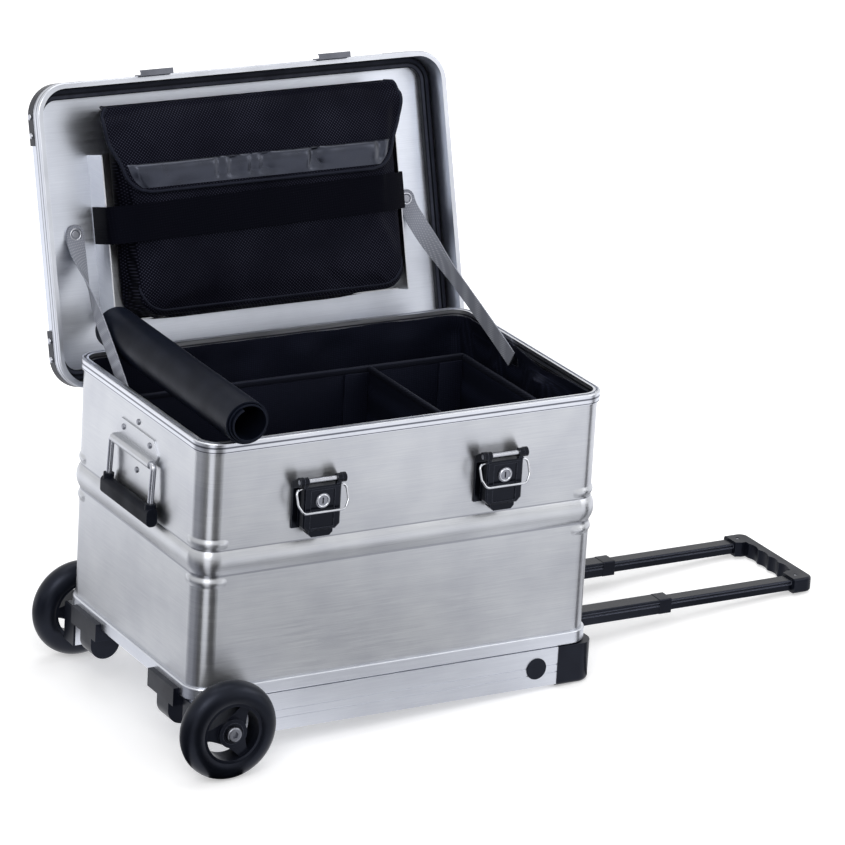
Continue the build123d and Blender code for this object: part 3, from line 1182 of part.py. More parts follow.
def level_nodes():
    """Every node with the case level and the lid open."""
    nodes = {
        "body_shell": body_shell(),
        "body_rim": body_rim(),
        "bottom_band": bottom_band(),
        "lining": lining(),
        "dividers": dividers(),
        "front_rail": rail(-1),
        "rear_rail": rail(1),
        "rail_end_caps": group([rail_end_cap(side) for side in SIDES]),
        "rail_heel_plugs": group([rail_heel_plug(side) for side in SIDES]),
        "rail_face_plugs": group([rail_face_plug(side) for side in SIDES]),
        "stand_feet": group([stand_foot(side) for side in SIDES]),
        "cross_members": group([cross_member(start) for start in CROSS_MEMBERS_X]),
        "axle_bolts": group([axle_bolt(side) for side in SIDES]),
        "axle_spacers": group([axle_spacer(side) for side in SIDES]),
        "axle_nuts": group([axle_nut(side) for side in SIDES]),
        "handle_guides": group([handle_guide(side) for side in SIDES]),
        "lower_tubes": group([lower_tube(side) for side in SIDES]),
        "tube_collars": group([tube_collar(side) for side in SIDES]),
        "upper_tubes": group([upper_tube(side) for side in SIDES]),
        "pull_grip": pull_grip(),
        "grip_screws": grip_screws(),
        "release_button": release_button(),
        "handle_rivets": handle_rivets(),
        "handle_plates": group([handle_plate(end) for end in ENDS.values()]),
        "latch_bases": group([latch_base(x) for x in LATCHES.values()]),
        "latch_pins": group([latch_pin(x) for x in LATCHES.values()]),
        "hinge_body_leaves": group([hinge_body_leaf(x) for x in HINGES]),
        "hinge_pins": group([hinge_pin(x) for x in HINGES]),
        "stay_wall_anchors": group([stay_wall_anchor(side) for side in SIDES]),
        "stay_straps": group([stay_strap(side) for side in SIDES]),
        "rolled_mat": rolled_mat(),
    }
    for name, side in WHEELS.items():
        nodes[name + "_tyre"] = tyre(side)
        nodes[name + "_hub"] = hub(side)
        nodes[name + "_bearings"] = bearings(side)
    for name, end in ENDS.items():
        nodes[name + "_handle_bail"] = handle_bail(end)
        nodes[name + "_handle_grip"] = handle_grip(end)
    for name, x in LATCHES.items():
        nodes[name + "_latch_lever"] = latch_lever(x)
        nodes[name + "_latch_bail"] = latch_bail(x)
        nodes[name + "_lock_cylinder"] = lock_cylinder(x)
    lid = {
        "lid_shell": lid_shell(),
        "lid_rim": lid_rim(),
        "lid_seal": lid_seal(),
        "lid_corner_guards": lid_corner_guards(),
        "lid_guard_rivets": lid_guard_rivets(),
        "lid_catches": group([lid_catch(x) for x in LATCHES.values()]),
        "hinge_lid_leaves": group([hinge_lid_leaf(x) for x in HINGES]),
        "lid_tray": lid_tray(),
        "pouch": pouch(),
        "pouch_flap": pouch_flap(),
        "pouch_strap": pouch_strap(),
        "stay_lid_anchors": group([stay_lid_anchor(side) for side in SIDES]),
    }
    nodes.update({name: opened(shape) for name, shape in lid.items()})
    return nodes


def stance_angle():
    """Tilt in degrees at which the wheels and the end caps both touch the floor."""
    run = CAP_TIP - CAP_EDGE - AXLE_X
    rise = AXLE_LEVEL - (RAIL_FOOT - CAP_DROP + CAP_EDGE)
    drop = WHEEL_DIAMETER / 2 - CAP_EDGE
    return math.degrees(math.asin(drop / math.hypot(run, rise)) - math.atan2(rise, run))


def floor_placing(nodes):
    """The move that sets the level case down on the floor, centred over the origin."""
    tilt = Rot(0, stance_angle(), 0)
    box = Compound(children=[tilt * shape for shape in nodes.values()]).bounding_box(optimal=True)
    axle = math.radians(stance_angle())
    floor = AXLE_LEVEL * math.cos(axle) - AXLE_X * math.sin(axle) - WHEEL_DIAMETER / 2
    return Pos(-box.center().X, -box.center().Y, -floor) * tilt


if __name__ == "__main__":
    os.makedirs("parts", exist_ok=True)
    level = level_nodes()
    placing = floor_placing(level)
    print("placing", placing)
    for node, shape in level.items():
        export_step(placing * shape, f"parts/{node}.step")
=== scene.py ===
import math

import bmesh
import bpy
from mathutils import Matrix, Vector, noise


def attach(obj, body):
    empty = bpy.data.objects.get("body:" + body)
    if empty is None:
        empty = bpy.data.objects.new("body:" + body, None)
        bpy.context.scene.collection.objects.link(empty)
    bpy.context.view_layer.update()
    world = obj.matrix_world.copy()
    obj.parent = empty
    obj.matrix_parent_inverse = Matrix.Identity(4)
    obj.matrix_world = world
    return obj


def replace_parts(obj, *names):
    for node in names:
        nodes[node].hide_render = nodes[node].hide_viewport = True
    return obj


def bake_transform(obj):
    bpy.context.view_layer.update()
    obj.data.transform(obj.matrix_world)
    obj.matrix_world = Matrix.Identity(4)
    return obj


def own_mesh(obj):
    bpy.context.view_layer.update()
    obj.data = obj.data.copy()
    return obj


# Wheeled aluminium case with its lid open. Sizes are millimetres in the case's own level frame, unless MM is
# written: X runs along the case towards the pull handle, the latches are at -Y, and Z is 0 at the top of the
# bottom band. Pieces of the lid are given as they lie when it is closed.
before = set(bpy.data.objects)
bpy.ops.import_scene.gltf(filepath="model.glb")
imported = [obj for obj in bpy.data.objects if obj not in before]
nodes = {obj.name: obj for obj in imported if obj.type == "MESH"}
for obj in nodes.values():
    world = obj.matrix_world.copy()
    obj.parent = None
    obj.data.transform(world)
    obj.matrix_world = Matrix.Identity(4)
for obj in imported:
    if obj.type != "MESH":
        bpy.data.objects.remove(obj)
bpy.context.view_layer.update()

MM = 0.001
TILT = math.radians(3.6548015)
OPENING = math.radians(-106.1)
CASE = Matrix.Translation((-0.1902167, -0.0512055, 0.0912223)) @ Matrix.Rotation(TILT, 4, "Y")
HINGE = Vector((0, 0.1865, 0.2818))
LID = CASE @ Matrix.Translation(HINGE) @ Matrix.Rotation(OPENING, 4, "X") @ Matrix.Translation(-HINGE)

HALF_LENGTH = 285
HALF_WIDTH = 182
CORNER = 27
LID_FACE = 331.5
STAY_LUG = 244


# ---------------------------------------------------------------------------------------------------------------
# Hand tools
# ---------------------------------------------------------------------------------------------------------------

def linear(code):
    """Linear colour of an sRGB hex value."""
    parts = [int(code[i:i + 2], 16) / 255 for i in (1, 3, 5)]
    return tuple(c / 12.92 if c <= 0.04045 else ((c + 0.055) / 1.055) ** 2.4 for c in parts) + (1,)


def add(material, kind, sockets=None, **settings):
    """One shader node: settings are its own properties, sockets take values or other nodes' outputs."""
    tree = material.node_tree
    made = tree.nodes.new("ShaderNode" + kind)
    for key, value in settings.items():
        setattr(made, key, value)
    for key, value in (sockets or {}).items():
        if isinstance(value, bpy.types.NodeSocket):
            tree.links.new(value, made.inputs[key])
        else:
            made.inputs[key].default_value = value
    return made


def blank(name):
    """A material with an empty node tree."""
    material = bpy.data.materials.new(name)
    material.use_nodes = True
    material.node_tree.nodes.clear()
    return material


def only(*pieces):
    """Selects these pieces alone, the first as the active one."""
    bpy.ops.object.select_all(action="DESELECT")
    for piece in pieces:
        piece.select_set(True)
    bpy.context.view_layer.objects.active = pieces[0]


def named(name):
    """The piece just made, with its name and its place put into the mesh."""
    piece = bpy.context.object
    piece.name = piece.data.name = name
    bpy.ops.object.transform_apply(location=True, rotation=True, scale=True)
    return piece


def box_piece(name, low, high):
    """A box between two corners, as the start of a piece."""
    bpy.ops.object.select_all(action="DESELECT")
    bpy.ops.mesh.primitive_cube_add(size=1, location=[(a + b) / 2 * MM for a, b in zip(low, high)])
    bpy.context.object.scale = [(b - a) * MM for a, b in zip(low, high)]
    return named(name)


def grid_piece(name, across, along, form):
    """A net of across by along cells, each point laid at form(u, v) in millimetres, with u and v from 0 to 1."""
    bpy.ops.object.select_all(action="DESELECT")
    bpy.ops.mesh.primitive_grid_add(x_subdivisions=across, y_subdivisions=along, size=1, location=(0.5, 0.5, 0))
    piece = named(name)
    for point in piece.data.vertices:
        point.co = Vector(form(point.co.x, point.co.y)) * MM
    return piece


def cord_piece(name, points, radius):
    """A round cord through points in millimetres."""
    curve = bpy.data.curves.new(name, "CURVE")
    curve.dimensions = "3D"
    curve.bevel_depth = radius * MM
    curve.bevel_resolution = 3
    curve.use_fill_caps = True
    line = curve.splines.new("POLY")
    line.points.add(len(points) - 1)
    for knot, at in zip(line.points, points):
        knot.co = (*(Vector(at) * MM), 1)
    piece = bpy.data.objects.new(name, curve)
    bpy.context.collection.objects.link(piece)
    only(piece)
    bpy.ops.object.convert(target="MESH")
    return named(name)


def pick(piece, kind, test):
    """Selects, in edit mode, the edges or faces whose middle (in millimetres) and direction pass a test."""
    bpy.context.view_layer.objects.active = piece
    bpy.ops.object.mode_set(mode="EDIT")
    bpy.ops.mesh.select_mode(type=kind)
    bpy.ops.mesh.select_all(action="DESELECT")
    mesh = bmesh.from_edit_mesh(piece.data)
    for item in mesh.edges if kind == "EDGE" else mesh.faces:
        if kind == "EDGE":
            middle = (item.verts[0].co + item.verts[1].co) / 2
            way = (item.verts[1].co - item.verts[0].co).normalized()
        else:
            middle, way = item.calc_center_median(), item.normal
        item.select_set(test(middle / MM, way))
    mesh.select_flush_mode()
    bmesh.update_edit_mesh(piece.data)


def leave_edit():
    """Back to object mode."""
    bpy.ops.object.mode_set(mode="OBJECT")


def modify(piece, kind, **settings):
    """One modifier with its settings, applied."""
    only(piece)
    made = piece.modifiers.new(kind.title(), kind)
    for key, value in settings.items():
        setattr(made, key, value)
    bpy.ops.object.modifier_apply(modifier=made.name)


def smooth(piece, angle=40):
    """Smooth shading with edges sharper than the angle kept."""
    only(piece)
    bpy.ops.object.shade_smooth_by_angle(angle=math.radians(angle))


def joined(name, pieces):
    """Several meshes as one piece."""
    only(*pieces)
    bpy.ops.object.join()
    return named(name)


def fit(piece, place, slot, body=None, material=None):
    """Puts a finished mesh in the shared frame, with its finish and its body."""
    piece.data.transform(place)
    piece.data.materials.clear()
    piece.data.materials.append(finish[material or slot])
    if body:
        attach(piece, body)


def ease(t):
    """Smooth step from 0 to 1."""
    t = min(max(t, 0), 1)
    return t * t * (3 - 2 * t)


# ---------------------------------------------------------------------------------------------------------------
# Materials
# ---------------------------------------------------------------------------------------------------------------

def edge_wear_and_highlight(m, radius):
    """1 along edges, 0 on faces: how far the rounded normal of an edge turns from the face's. It marks rubbed
    edges and painted edge highlights.
    """
    rounded = add(m, "Bevel", {"Radius": radius * MM}, samples=4).outputs[0]
    face = add(m, "NewGeometry").outputs["Normal"]
    match = add(m, "VectorMath", {0: rounded, 1: face}, operation="DOT_PRODUCT").outputs["Value"]
    return add(m, "MapRange", {"Value": match, "From Min": 0.97, "From Max": 0.8}).outputs[0]


def aluminium(name, dark, light, low, high, pitch, stretch, place=None, grooves=(), groove_shade="#4b4d55", flat=False):
    """Mill-finished aluminium: satin grey with fine level lines that draw reflections out upright, faint clouds,
    edges made bright partly as rubbing and partly as a painted highlight and, where grooves (level, half width)
    are given, painted shade along them."""
    m = blank(name)
    back = (place or CASE).inverted()
    whole = add(m, "TexCoord").outputs["Object"]
    level = add(m, "Mapping", {"Vector": whole, "Rotation": back.to_euler(),
                               "Location": back.translation}).outputs[0]
    # Roll lines are about 0.3 mm apart; drawn coarser so that they show.
    close = 1 / (pitch * MM)
    fine = add(m, "Mapping", {"Vector": level, "Scale": (20, close if flat else 20, close)}).outputs[0]
    lines = add(m, "TexNoise", {"Vector": fine, "Scale": 1.0, "Detail": 2.0, "Roughness": 0.5}).outputs["Fac"]
    cloud = add(m, "TexNoise", {"Vector": level, "Scale": 16.0, "Detail": 4.0}).outputs["Fac"]
    both = add(m, "Math", {0: lines, 1: cloud}, operation="ADD").outputs[0]
    tone = add(m, "MapRange", {"Value": both, "From Min": 0.7, "From Max": 1.3}).outputs[0]
    colour = add(m, "Mix", {0: tone, 6: linear(dark), 7: linear(light)}, data_type="RGBA").outputs[2]
    # Edges paler: partly rubbing, partly a painted highlight.
    colour = add(m, "Mix", {0: edge_wear_and_highlight(m, 0.8), 6: colour, 7: linear("#e2e4ea")}, data_type="RGBA").outputs[2]
    up = add(m, "SeparateXYZ", {0: level}).outputs["Z"]
    # Darker lines along the grooves are painted shade.
    for groove, half in grooves:
        off = add(m, "Math", {0: up, 1: groove * MM}, operation="SUBTRACT").outputs[0]
        off = add(m, "Math", {0: off}, operation="ABSOLUTE").outputs[0]
        deep = add(m, "MapRange", {"Value": off, "From Min": half * MM, "From Max": half * 0.5 * MM}).outputs[0]
        colour = add(m, "Mix", {0: deep, 6: colour, 7: linear(groove_shade)}, data_type="RGBA").outputs[2]
    rough = add(m, "MapRange", {"Value": lines, "From Min": 0.4, "From Max": 0.6, "To Min": low, "To Max": high})
    bump = add(m, "Bump", {"Height": lines, "Strength": 0.015, "Distance": 0.0004}).outputs[0]
    run = add(m, "Tangent", direction_type="RADIAL", axis="Z").outputs[0]
    shader = add(m, "BsdfPrincipled", {"Base Color": colour, "Metallic": 1.0, "Roughness": rough.outputs[0],
                                       "Anisotropic": stretch, "Anisotropic Rotation": 0.25, "Tangent": run,
                                       "Normal": bump})
    add(m, "OutputMaterial", {"Surface": shader.outputs[0]})
    return m


def moulded(name, dark, light, edge, low, high, grain, gloss, edge_width=0.9):
    """Moulded plastic or rubber: near black with a fine grain, cloudy gloss and edges made paler, partly as
    rubbing and partly as a painted highlight.
    """
    m = blank(name)
    place = add(m, "TexCoord").outputs["Object"]
    # Moulding grain is about 0.2 mm; drawn coarser so that it shows.
    grit = add(m, "TexNoise", {"Vector": place, "Scale": 1 / (grain * MM), "Detail": 2.0}).outputs["Fac"]
    rub = add(m, "TexNoise", {"Vector": place, "Scale": 28.0, "Detail": 3.0}).outputs["Fac"]
    tone = add(m, "MapRange", {"Value": rub, "From Min": 0.35, "From Max": 0.7}).outputs[0]
    colour = add(m, "Mix", {0: tone, 6: linear(dark), 7: linear(light)}, data_type="RGBA").outputs[2]
    # Paler edges: partly rubbing, partly a painted highlight.
    worn_and_highlit = add(m, "Mix", {0: edge_wear_and_highlight(m, edge_width), 6: colour, 7: linear(edge)}, data_type="RGBA").outputs[2]
    rough = add(m, "MapRange", {"Value": rub, "From Min": 0.3, "From Max": 0.7, "To Min": high, "To Max": low})
    bump = add(m, "Bump", {"Height": grit, "Strength": 0.15, "Distance": 0.0003}).outputs[0]
    shader = add(m, "BsdfPrincipled", {"Base Color": worn_and_highlit, "Roughness": rough.outputs[0], "IOR": 1.5,
                                       "Specular IOR Level": gloss, "Specular Tint": linear("#d3dbf6"),
                                       "Normal": bump})
    add(m, "OutputMaterial", {"Surface": shader.outputs[0]})
    return m


def plated_steel(name, dark, light, low, high):
    """Plated steel wire and pressings: bright, with cloudy patches and faint drawing marks."""
    m = blank(name)
    place = add(m, "TexCoord").outputs["Object"]
    # Clouds of about 25 mm; drawing marks of about 0.1 mm are drawn at 3 mm so that they show.
    cloud = add(m, "TexNoise", {"Vector": place, "Scale": 40.0, "Detail": 2.0}).outputs["Fac"]
    marks = add(m, "TexNoise", {"Vector": place, "Scale": 300.0, "Detail": 1.0}).outputs["Fac"]
    tone = add(m, "MapRange", {"Value": cloud, "From Min": 0.3, "From Max": 0.7}).outputs[0]
    colour = add(m, "Mix", {0: tone, 6: linear(dark), 7: linear(light)}, data_type="RGBA").outputs[2]
    rough = add(m, "MapRange", {"Value": cloud, "From Min": 0.3, "From Max": 0.7, "To Min": low, "To Max": high})
    bump = add(m, "Bump", {"Height": marks, "Strength": 0.002, "Distance": 0.0001}).outputs[0]
    shader = add(m, "BsdfPrincipled", {"Base Color": colour, "Metallic": 1.0, "Roughness": rough.outputs[0],
                                       "Normal": bump})
    add(m, "OutputMaterial", {"Surface": shader.outputs[0]})
    return m


def woven(name, dark, light, thread, depth, gloss, turn=0.0, slant=0.0):
    """Woven cloth: crossing threads that show as small pale dots, in soft uneven patches."""
    m = blank(name)
    place = add(m, "TexCoord").outputs["Object"]
    upright = add(m, "Mapping", {"Vector": place, "Rotation": (turn, 0, 0)}).outputs[0]
    turned = add(m, "Mapping", {"Vector": upright, "Rotation": (0, slant, 0)}).outputs[0]
    # A wave runs once in 2 pi / 20 of its scaled length. Threads of about 0.6 mm are drawn four to six times
    # coarser so that they show.
    rate = 2 * math.pi / 20 / (thread * MM)
    warp = add(m, "TexWave", {"Vector": turned, "Scale": rate, "Distortion": 0.4, "Detail": 1.0},
               bands_direction="X").outputs["Fac"]
    weft = add(m, "TexWave", {"Vector": turned, "Scale": rate, "Distortion": 0.4, "Detail": 1.0},
               bands_direction="Z").outputs["Fac"]
    weave = add(m, "Math", {0: warp, 1: weft}, operation="MULTIPLY").outputs[0]
    patch = add(m, "TexNoise", {"Vector": place, "Scale": 11.0, "Detail": 3.0}).outputs["Fac"]
    both = add(m, "Math", {0: weave, 1: patch}, operation="MULTIPLY").outputs[0]
    tone = add(m, "MapRange", {"Value": both, "From Min": 0.12, "From Max": 0.55}).outputs[0]
    colour = add(m, "Mix", {0: tone, 6: linear(dark), 7: linear(light)}, data_type="RGBA").outputs[2]
    bump = add(m, "Bump", {"Height": weave, "Strength": 0.5, "Distance": depth * MM}).outputs[0]
    shader = add(m, "BsdfPrincipled", {"Base Color": colour, "Roughness": 0.6, "Specular IOR Level": gloss,
                                       "Specular Tint": linear("#bcc6f2"), "Normal": bump})
    add(m, "OutputMaterial", {"Surface": shader.outputs[0]})
    return m


def soft_vinyl():
    """Glossy black vinyl: smooth, with bright soft reflections along its folds."""
    m = blank("glossy_black_vinyl")
    place = add(m, "TexCoord").outputs["Object"]
    # Ripples of about 17 mm.
    ripple = add(m, "TexNoise", {"Vector": place, "Scale": 60.0, "Detail": 2.0}).outputs["Fac"]
    rough = add(m, "MapRange", {"Value": ripple, "From Min": 0.3, "From Max": 0.7, "To Min": 0.26, "To Max": 0.34})
    tone = add(m, "MapRange", {"Value": ripple, "From Min": 0.35, "From Max": 0.65}).outputs[0]
    colour = add(m, "Mix", {0: tone, 6: linear("#0b0d14"), 7: linear("#12151e")}, data_type="RGBA").outputs[2]
    bump = add(m, "Bump", {"Height": ripple, "Strength": 0.08, "Distance": 0.002}).outputs[0]
    shader = add(m, "BsdfPrincipled", {"Base Color": colour, "Roughness": rough.outputs[0], "IOR": 1.53,
                                       "Specular IOR Level": 0.65, "Specular Tint": linear("#dfe6ff"),
                                       "Normal": bump})
    add(m, "OutputMaterial", {"Surface": shader.outputs[0]})
    return m


def lipped_seal():
    """Black sponge rubber: two dusty lips with painted highlights, the inner one paler, parted by a channel of
    painted shade and with painted shade at both edges.
    """
    m = blank("sponge_seal_rubber")
    back = LID.inverted()
    whole = add(m, "TexCoord").outputs["Object"]
    level = add(m, "Mapping", {"Vector": whole, "Rotation": back.to_euler(),
                               "Location": back.translation}).outputs[0]
    # Distance out from the middle of the seal, which runs 1.5 mm inside the walls' outline.
    straight = (HALF_LENGTH - CORNER) * MM, (HALF_WIDTH - CORNER) * MM, 10
    out = add(m, "VectorMath", {0: level}, operation="ABSOLUTE").outputs[0]
    out = add(m, "VectorMath", {0: out, 1: straight}, operation="SUBTRACT").outputs[0]
    out = add(m, "VectorMath", {0: out, 1: (0, 0, 0)}, operation="MAXIMUM").outputs[0]
    reach = add(m, "VectorMath", {0: out}, operation="LENGTH").outputs["Value"]
    off = add(m, "Math", {0: reach, 1: (CORNER - 1.5) * MM}, operation="SUBTRACT").outputs[0]
    wide = add(m, "Math", {0: off}, operation="ABSOLUTE").outputs[0]
    # A channel of painted shade between the lips, and painted shade along both edges.
    channel = add(m, "MapRange", {"Value": wide, "From Min": 1.6 * MM, "From Max": 1.0 * MM}).outputs[0]
    edge_shade = add(m, "MapRange", {"Value": wide, "From Min": 4.6 * MM, "From Max": 5.6 * MM}).outputs[0]
    deep = add(m, "Math", {0: channel, 1: edge_shade}, operation="MAXIMUM").outputs[0]
    # The lips are paler as a painted highlight, the inner one most.
    inner = add(m, "MapRange", {"Value": off, "From Min": 0.5 * MM, "From Max": -0.5 * MM}).outputs[0]
    lip_highlight_and_dust = add(m, "Mix", {0: inner, 6: linear("#1e2028"), 7: linear("#3b3d47")}, data_type="RGBA").outputs[2]
    dust = add(m, "TexNoise", {"Vector": whole, "Scale": 60.0, "Detail": 3.0}).outputs["Fac"]
    dull = add(m, "MapRange", {"Value": dust, "From Min": 0.4, "From Max": 0.7, "To Max": 0.45}).outputs[0]
    lip_highlight_and_dust = add(m, "Mix", {0: dull, 6: lip_highlight_and_dust, 7: linear("#14161d")}, data_type="RGBA").outputs[2]
    colour = add(m, "Mix", {0: deep, 6: lip_highlight_and_dust, 7: linear("#07080c")}, data_type="RGBA").outputs[2]
    rough = add(m, "MapRange", {"Value": dust, "From Min": 0.3, "From Max": 0.7, "To Min": 0.42, "To Max": 0.55})
    # Pores of about 1.5 mm.
    pores = add(m, "TexNoise", {"Vector": whole, "Scale": 1 / (1.5 * MM), "Detail": 2.0}).outputs["Fac"]
    bump = add(m, "Bump", {"Height": pores, "Strength": 0.15, "Distance": 0.0003}).outputs[0]
    shader = add(m, "BsdfPrincipled", {"Base Color": colour, "Roughness": rough.outputs[0], "IOR": 1.5,
                                       "Specular IOR Level": 0.2, "Specular Tint": linear("#d3dbf6"),
                                       "Normal": bump})
    add(m, "OutputMaterial", {"Surface": shader.outputs[0]})
    return m


# The open lid leans back by this much, and its cloth is woven square to it.
LEAN = math.radians(16.1)
finish = {
    "aluminium_sheet": aluminium("rolled_aluminium_sheet", "#b6b8be", "#c8cacd", 0.32, 0.4, 0.8, 0.7),
    # The body sheet's darker lines along the bead's edges are painted shade.
    "body_sheet": aluminium("rolled_body_sheet", "#b6b8be", "#c8cacd", 0.31, 0.37, 0.8, 0.72,
                            grooves=((148.4, 1.8), (181.8, 1.2)), groove_shade="#9c9ea5"),
    # The lid's sheet is drawn lighter than the body's and the lid's rim darker than the body's: painted light and
    # painted shade on copies of one metal.
    "lid_sheet": aluminium("rolled_lid_sheet", "#c3c7d1", "#d2d6df", 0.32, 0.4, 0.8, 0.5, LID, flat=True),
    "aluminium_profile": aluminium("extruded_aluminium", "#ced1d9", "#d8dbe2", 0.32, 0.38, 1.2, 0.5),
    # The rims' dark lines along their grooves are painted shade.
    "body_rim": aluminium("extruded_rim", "#cccfd6", "#d8dae0", 0.3, 0.36, 1.2, 0.3,
                          grooves=((317.6, 1.5), (311.6, 0.8)), groove_shade="#63656e"),
    "lid_rim": aluminium("extruded_lid_rim", "#bcbfc7", "#cacdd4", 0.32, 0.38, 1.2, 0.3, LID,
                         grooves=((303.4, 1.0), (296.6, 1.3)), groove_shade="#63656e"),
    "black_plastic": moulded("moulded_black_abs", "#0b0d15", "#14171f", "#2e313b", 0.28, 0.4, 1.2, 0.24),
    # The lacquer's pale edge colour is a painted highlight.
    "black_lacquer": moulded("black_lacquered_zinc", "#05060a", "#0a0c12", "#555863", 0.14, 0.22, 2.0, 0.22),
    "grip_rubber": moulded("soft_grip_rubber", "#0b0d14", "#13161e", "#2a2d37", 0.45, 0.58, 1.6, 0.12),
    "button_plastic": moulded("moulded_grey_abs", "#1d1f26", "#282b33", "#3a3d46", 0.4, 0.52, 1.2, 0.32),
    # The tube's pale edge colour, drawn wide, is a painted highlight along its edges.
    "black_tube": moulded("black_anodised_tube", "#05070d", "#0b0e16", "#686c7a", 0.2, 0.28, 2.5, 0.26, edge_width=2.4),
    "tyre_rubber": moulded("moulded_tyre_rubber", "#07090f", "#0f121a", "#20232c", 0.3, 0.42, 1.5, 0.3),
    "seal_rubber": lipped_seal(),
    "steel": plated_steel("zinc_plated_steel", "#b0b2b9", "#bfc1c8", 0.24, 0.3),
    "dull_steel": plated_steel("dull_zinc", "#7c7e86", "#8f9199", 0.3, 0.4),
    "dark_steel": plated_steel("browned_steel", "#5c5e66", "#6d6f77", 0.3, 0.4),
    "bright_steel": plated_steel("polished_nickel", "#bfc1c7", "#cfd1d7", 0.12, 0.16),
    "lining_fabric": woven("lining_nylon", "#06070f", "#1a1d2c", 2.6, 0.3, 0.22),
    "pouch_fabric": woven("woven_pouch_nylon", "#04040a", "#363745", 3.1, 0.4, 0.06, turn=LEAN, slant=0.8),
    "elastic_webbing": woven("black_elastic", "#030307", "#0a0a11", 3.4, 0.3, 0.05, turn=LEAN),
    "grey_webbing": woven("grey_polyester_webbing", "#8b8e98", "#b9bcc6", 2.6, 0.25, 0.25),
    "mat_foam": moulded("black_mat_foam", "#080b14", "#0f131e", "#262a36", 0.34, 0.46, 2.0, 0.13),
    "binding_tape": woven("black_binding_tape", "#0a0b11", "#20222b", 2.2, 0.2, 0.25, turn=LEAN),
    "vinyl": soft_vinyl(),
}

# Each carried-over node takes the finish of its slot in the record, apart from these.
OWN = {
    "body_rim": "body_rim", "lid_rim": "lid_rim", "body_shell": "body_sheet", "lid_shell": "lid_sheet",
    "lid_tray": "aluminium_sheet", "handle_plates": "aluminium_sheet", "latch_bases": "black_lacquer",
    "left_latch_lever": "black_lacquer", "right_latch_lever": "black_lacquer", "front_bearings": "black_lacquer",
    "rear_bearings": "black_lacquer", "stay_wall_anchors": "black_lacquer", "left_lock_cylinder": "dull_steel",
    "right_lock_cylinder": "dull_steel", "axle_bolts": "dull_steel", "handle_rivets": "dull_steel",
    "stay_lid_anchors": "dull_steel", "lid_catches": "dark_steel", "wheel_end_handle_grip": "grip_rubber",
    "pull_end_handle_grip": "grip_rubber",
}
for name, thing in nodes.items():
    for held in thing.material_slots:
        held.material = finish[OWN.get(name, held.material.name.split(".")[0])]


# ---------------------------------------------------------------------------------------------------------------
# Lining and dividers
# ---------------------------------------------------------------------------------------------------------------

def lining_cloth():
    """Liner hung inside the walls: rounded corners, loose upper edge and soft folds."""
    gap, floor_level, top, hem = 4.2, -11.0, 316, 290
    x, y = HALF_LENGTH - gap, HALF_WIDTH - gap
    piece = box_piece("lining_cloth", (-x, -y, floor_level), (x, y, top))
    pick(piece, "EDGE", lambda at, along: abs(along.z) > 0.9)
    bpy.ops.mesh.bevel(offset=22.6 * MM, segments=6)
    pick(piece, "FACE", lambda at, normal: normal.z > 0.9)
    bpy.ops.mesh.delete(type="FACE")
    bpy.ops.mesh.select_all(action="SELECT")
    bpy.ops.mesh.subdivide(number_cuts=30)
    leave_edit()
    for point in piece.data.vertices:
        at = point.co / MM
        # Flat behind the stays' feet, loose at the pull end, and turned in along the hem.
        clear = 1 - ease((40 - abs(at.y - 40)) / 20) if abs(at.x) > 270 else 1
        rise = ease((at.z - 120) / 160)
        fold = noise.noise(Vector((at.x / 42, at.y / 42, at.z / 120))) * 9.0 + 1.6
        slack = math.exp(-((at.x - 275) / 40) ** 2 - ((at.y + 40) / 60) ** 2)
        push = (max(fold, 0) * (0.3 + rise) + 7 * slack * rise) * clear * (1 - ease((at.z - 296) / 10))
        push += 3.4 * ease((at.z - 296) / 10)
        inward = Vector((-at.x / x if abs(at.x) > x - 23 else 0, -at.y / y if abs(at.y) > y - 23 else 0, 0))
        if at.z > floor_level + 1:
            point.co += inward * push * MM
        if at.z > hem:
            sag = noise.noise(Vector((at.x / 60, at.y / 60, 4))) * 2.5 - 9 * slack
            point.co.z += sag * (at.z - hem) / (top - hem) * MM
    modify(piece, "SOLIDIFY", thickness=1.4 * MM, offset=1)
    smooth(piece, 50)
    fit(piece, CASE, "lining_fabric", "case_body")
    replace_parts(piece, "lining")


# Places of the two cross boards along the case, and the long board's two faces.
CROSS_BOARDS = (108, 249.5)
LONG_BOARD = (116.1, 120.9)


def divider_boards():
    """Padded boards, and the flaps that hold the cross boards to the long one."""
    low, high = -10.0, 280.5
    spans = [((-280, LONG_BOARD[0], low), (252, LONG_BOARD[1], high))]
    for at in CROSS_BOARDS:
        spans.append(((at - 2.4, -177, low), (at + 2.4, 115.5, high)))
        spans.append(((at - 38, 112.9, low), (at - 2.4, 115.5, high - 6)))
    boards = [box_piece("divider_board", *span) for span in spans]
    for board in boards:
        modify(board, "BEVEL", width=1.2 * MM, segments=2)
    piece = joined("divider_boards", boards)
    smooth(piece)
    fit(piece, CASE, "lining_fabric", "case_body")
    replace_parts(piece, "dividers")


def divider_binding():
    """Tape sewn over the upper edges of the boards."""
    low, high = 273, 282.2
    spans = [((-280, LONG_BOARD[0] - 0.5, low), (252, LONG_BOARD[1] + 0.5, high))]
    for at in CROSS_BOARDS:
        spans.append(((at - 2.9, -177, low), (at + 2.9, 115.5, high)))
    tapes = [box_piece("tape", *span) for span in spans]
    for tape in tapes:
        modify(tape, "BEVEL", width=2.2 * MM, segments=3)
    piece = joined("divider_binding", tapes)
    smooth(piece, 60)
    fit(piece, CASE, "lining_fabric", "case_body", "binding_tape")


lining_cloth()
divider_boards()
divider_binding()


# ---------------------------------------------------------------------------------------------------------------
# Pouch in the lid
# ---------------------------------------------------------------------------------------------------------------

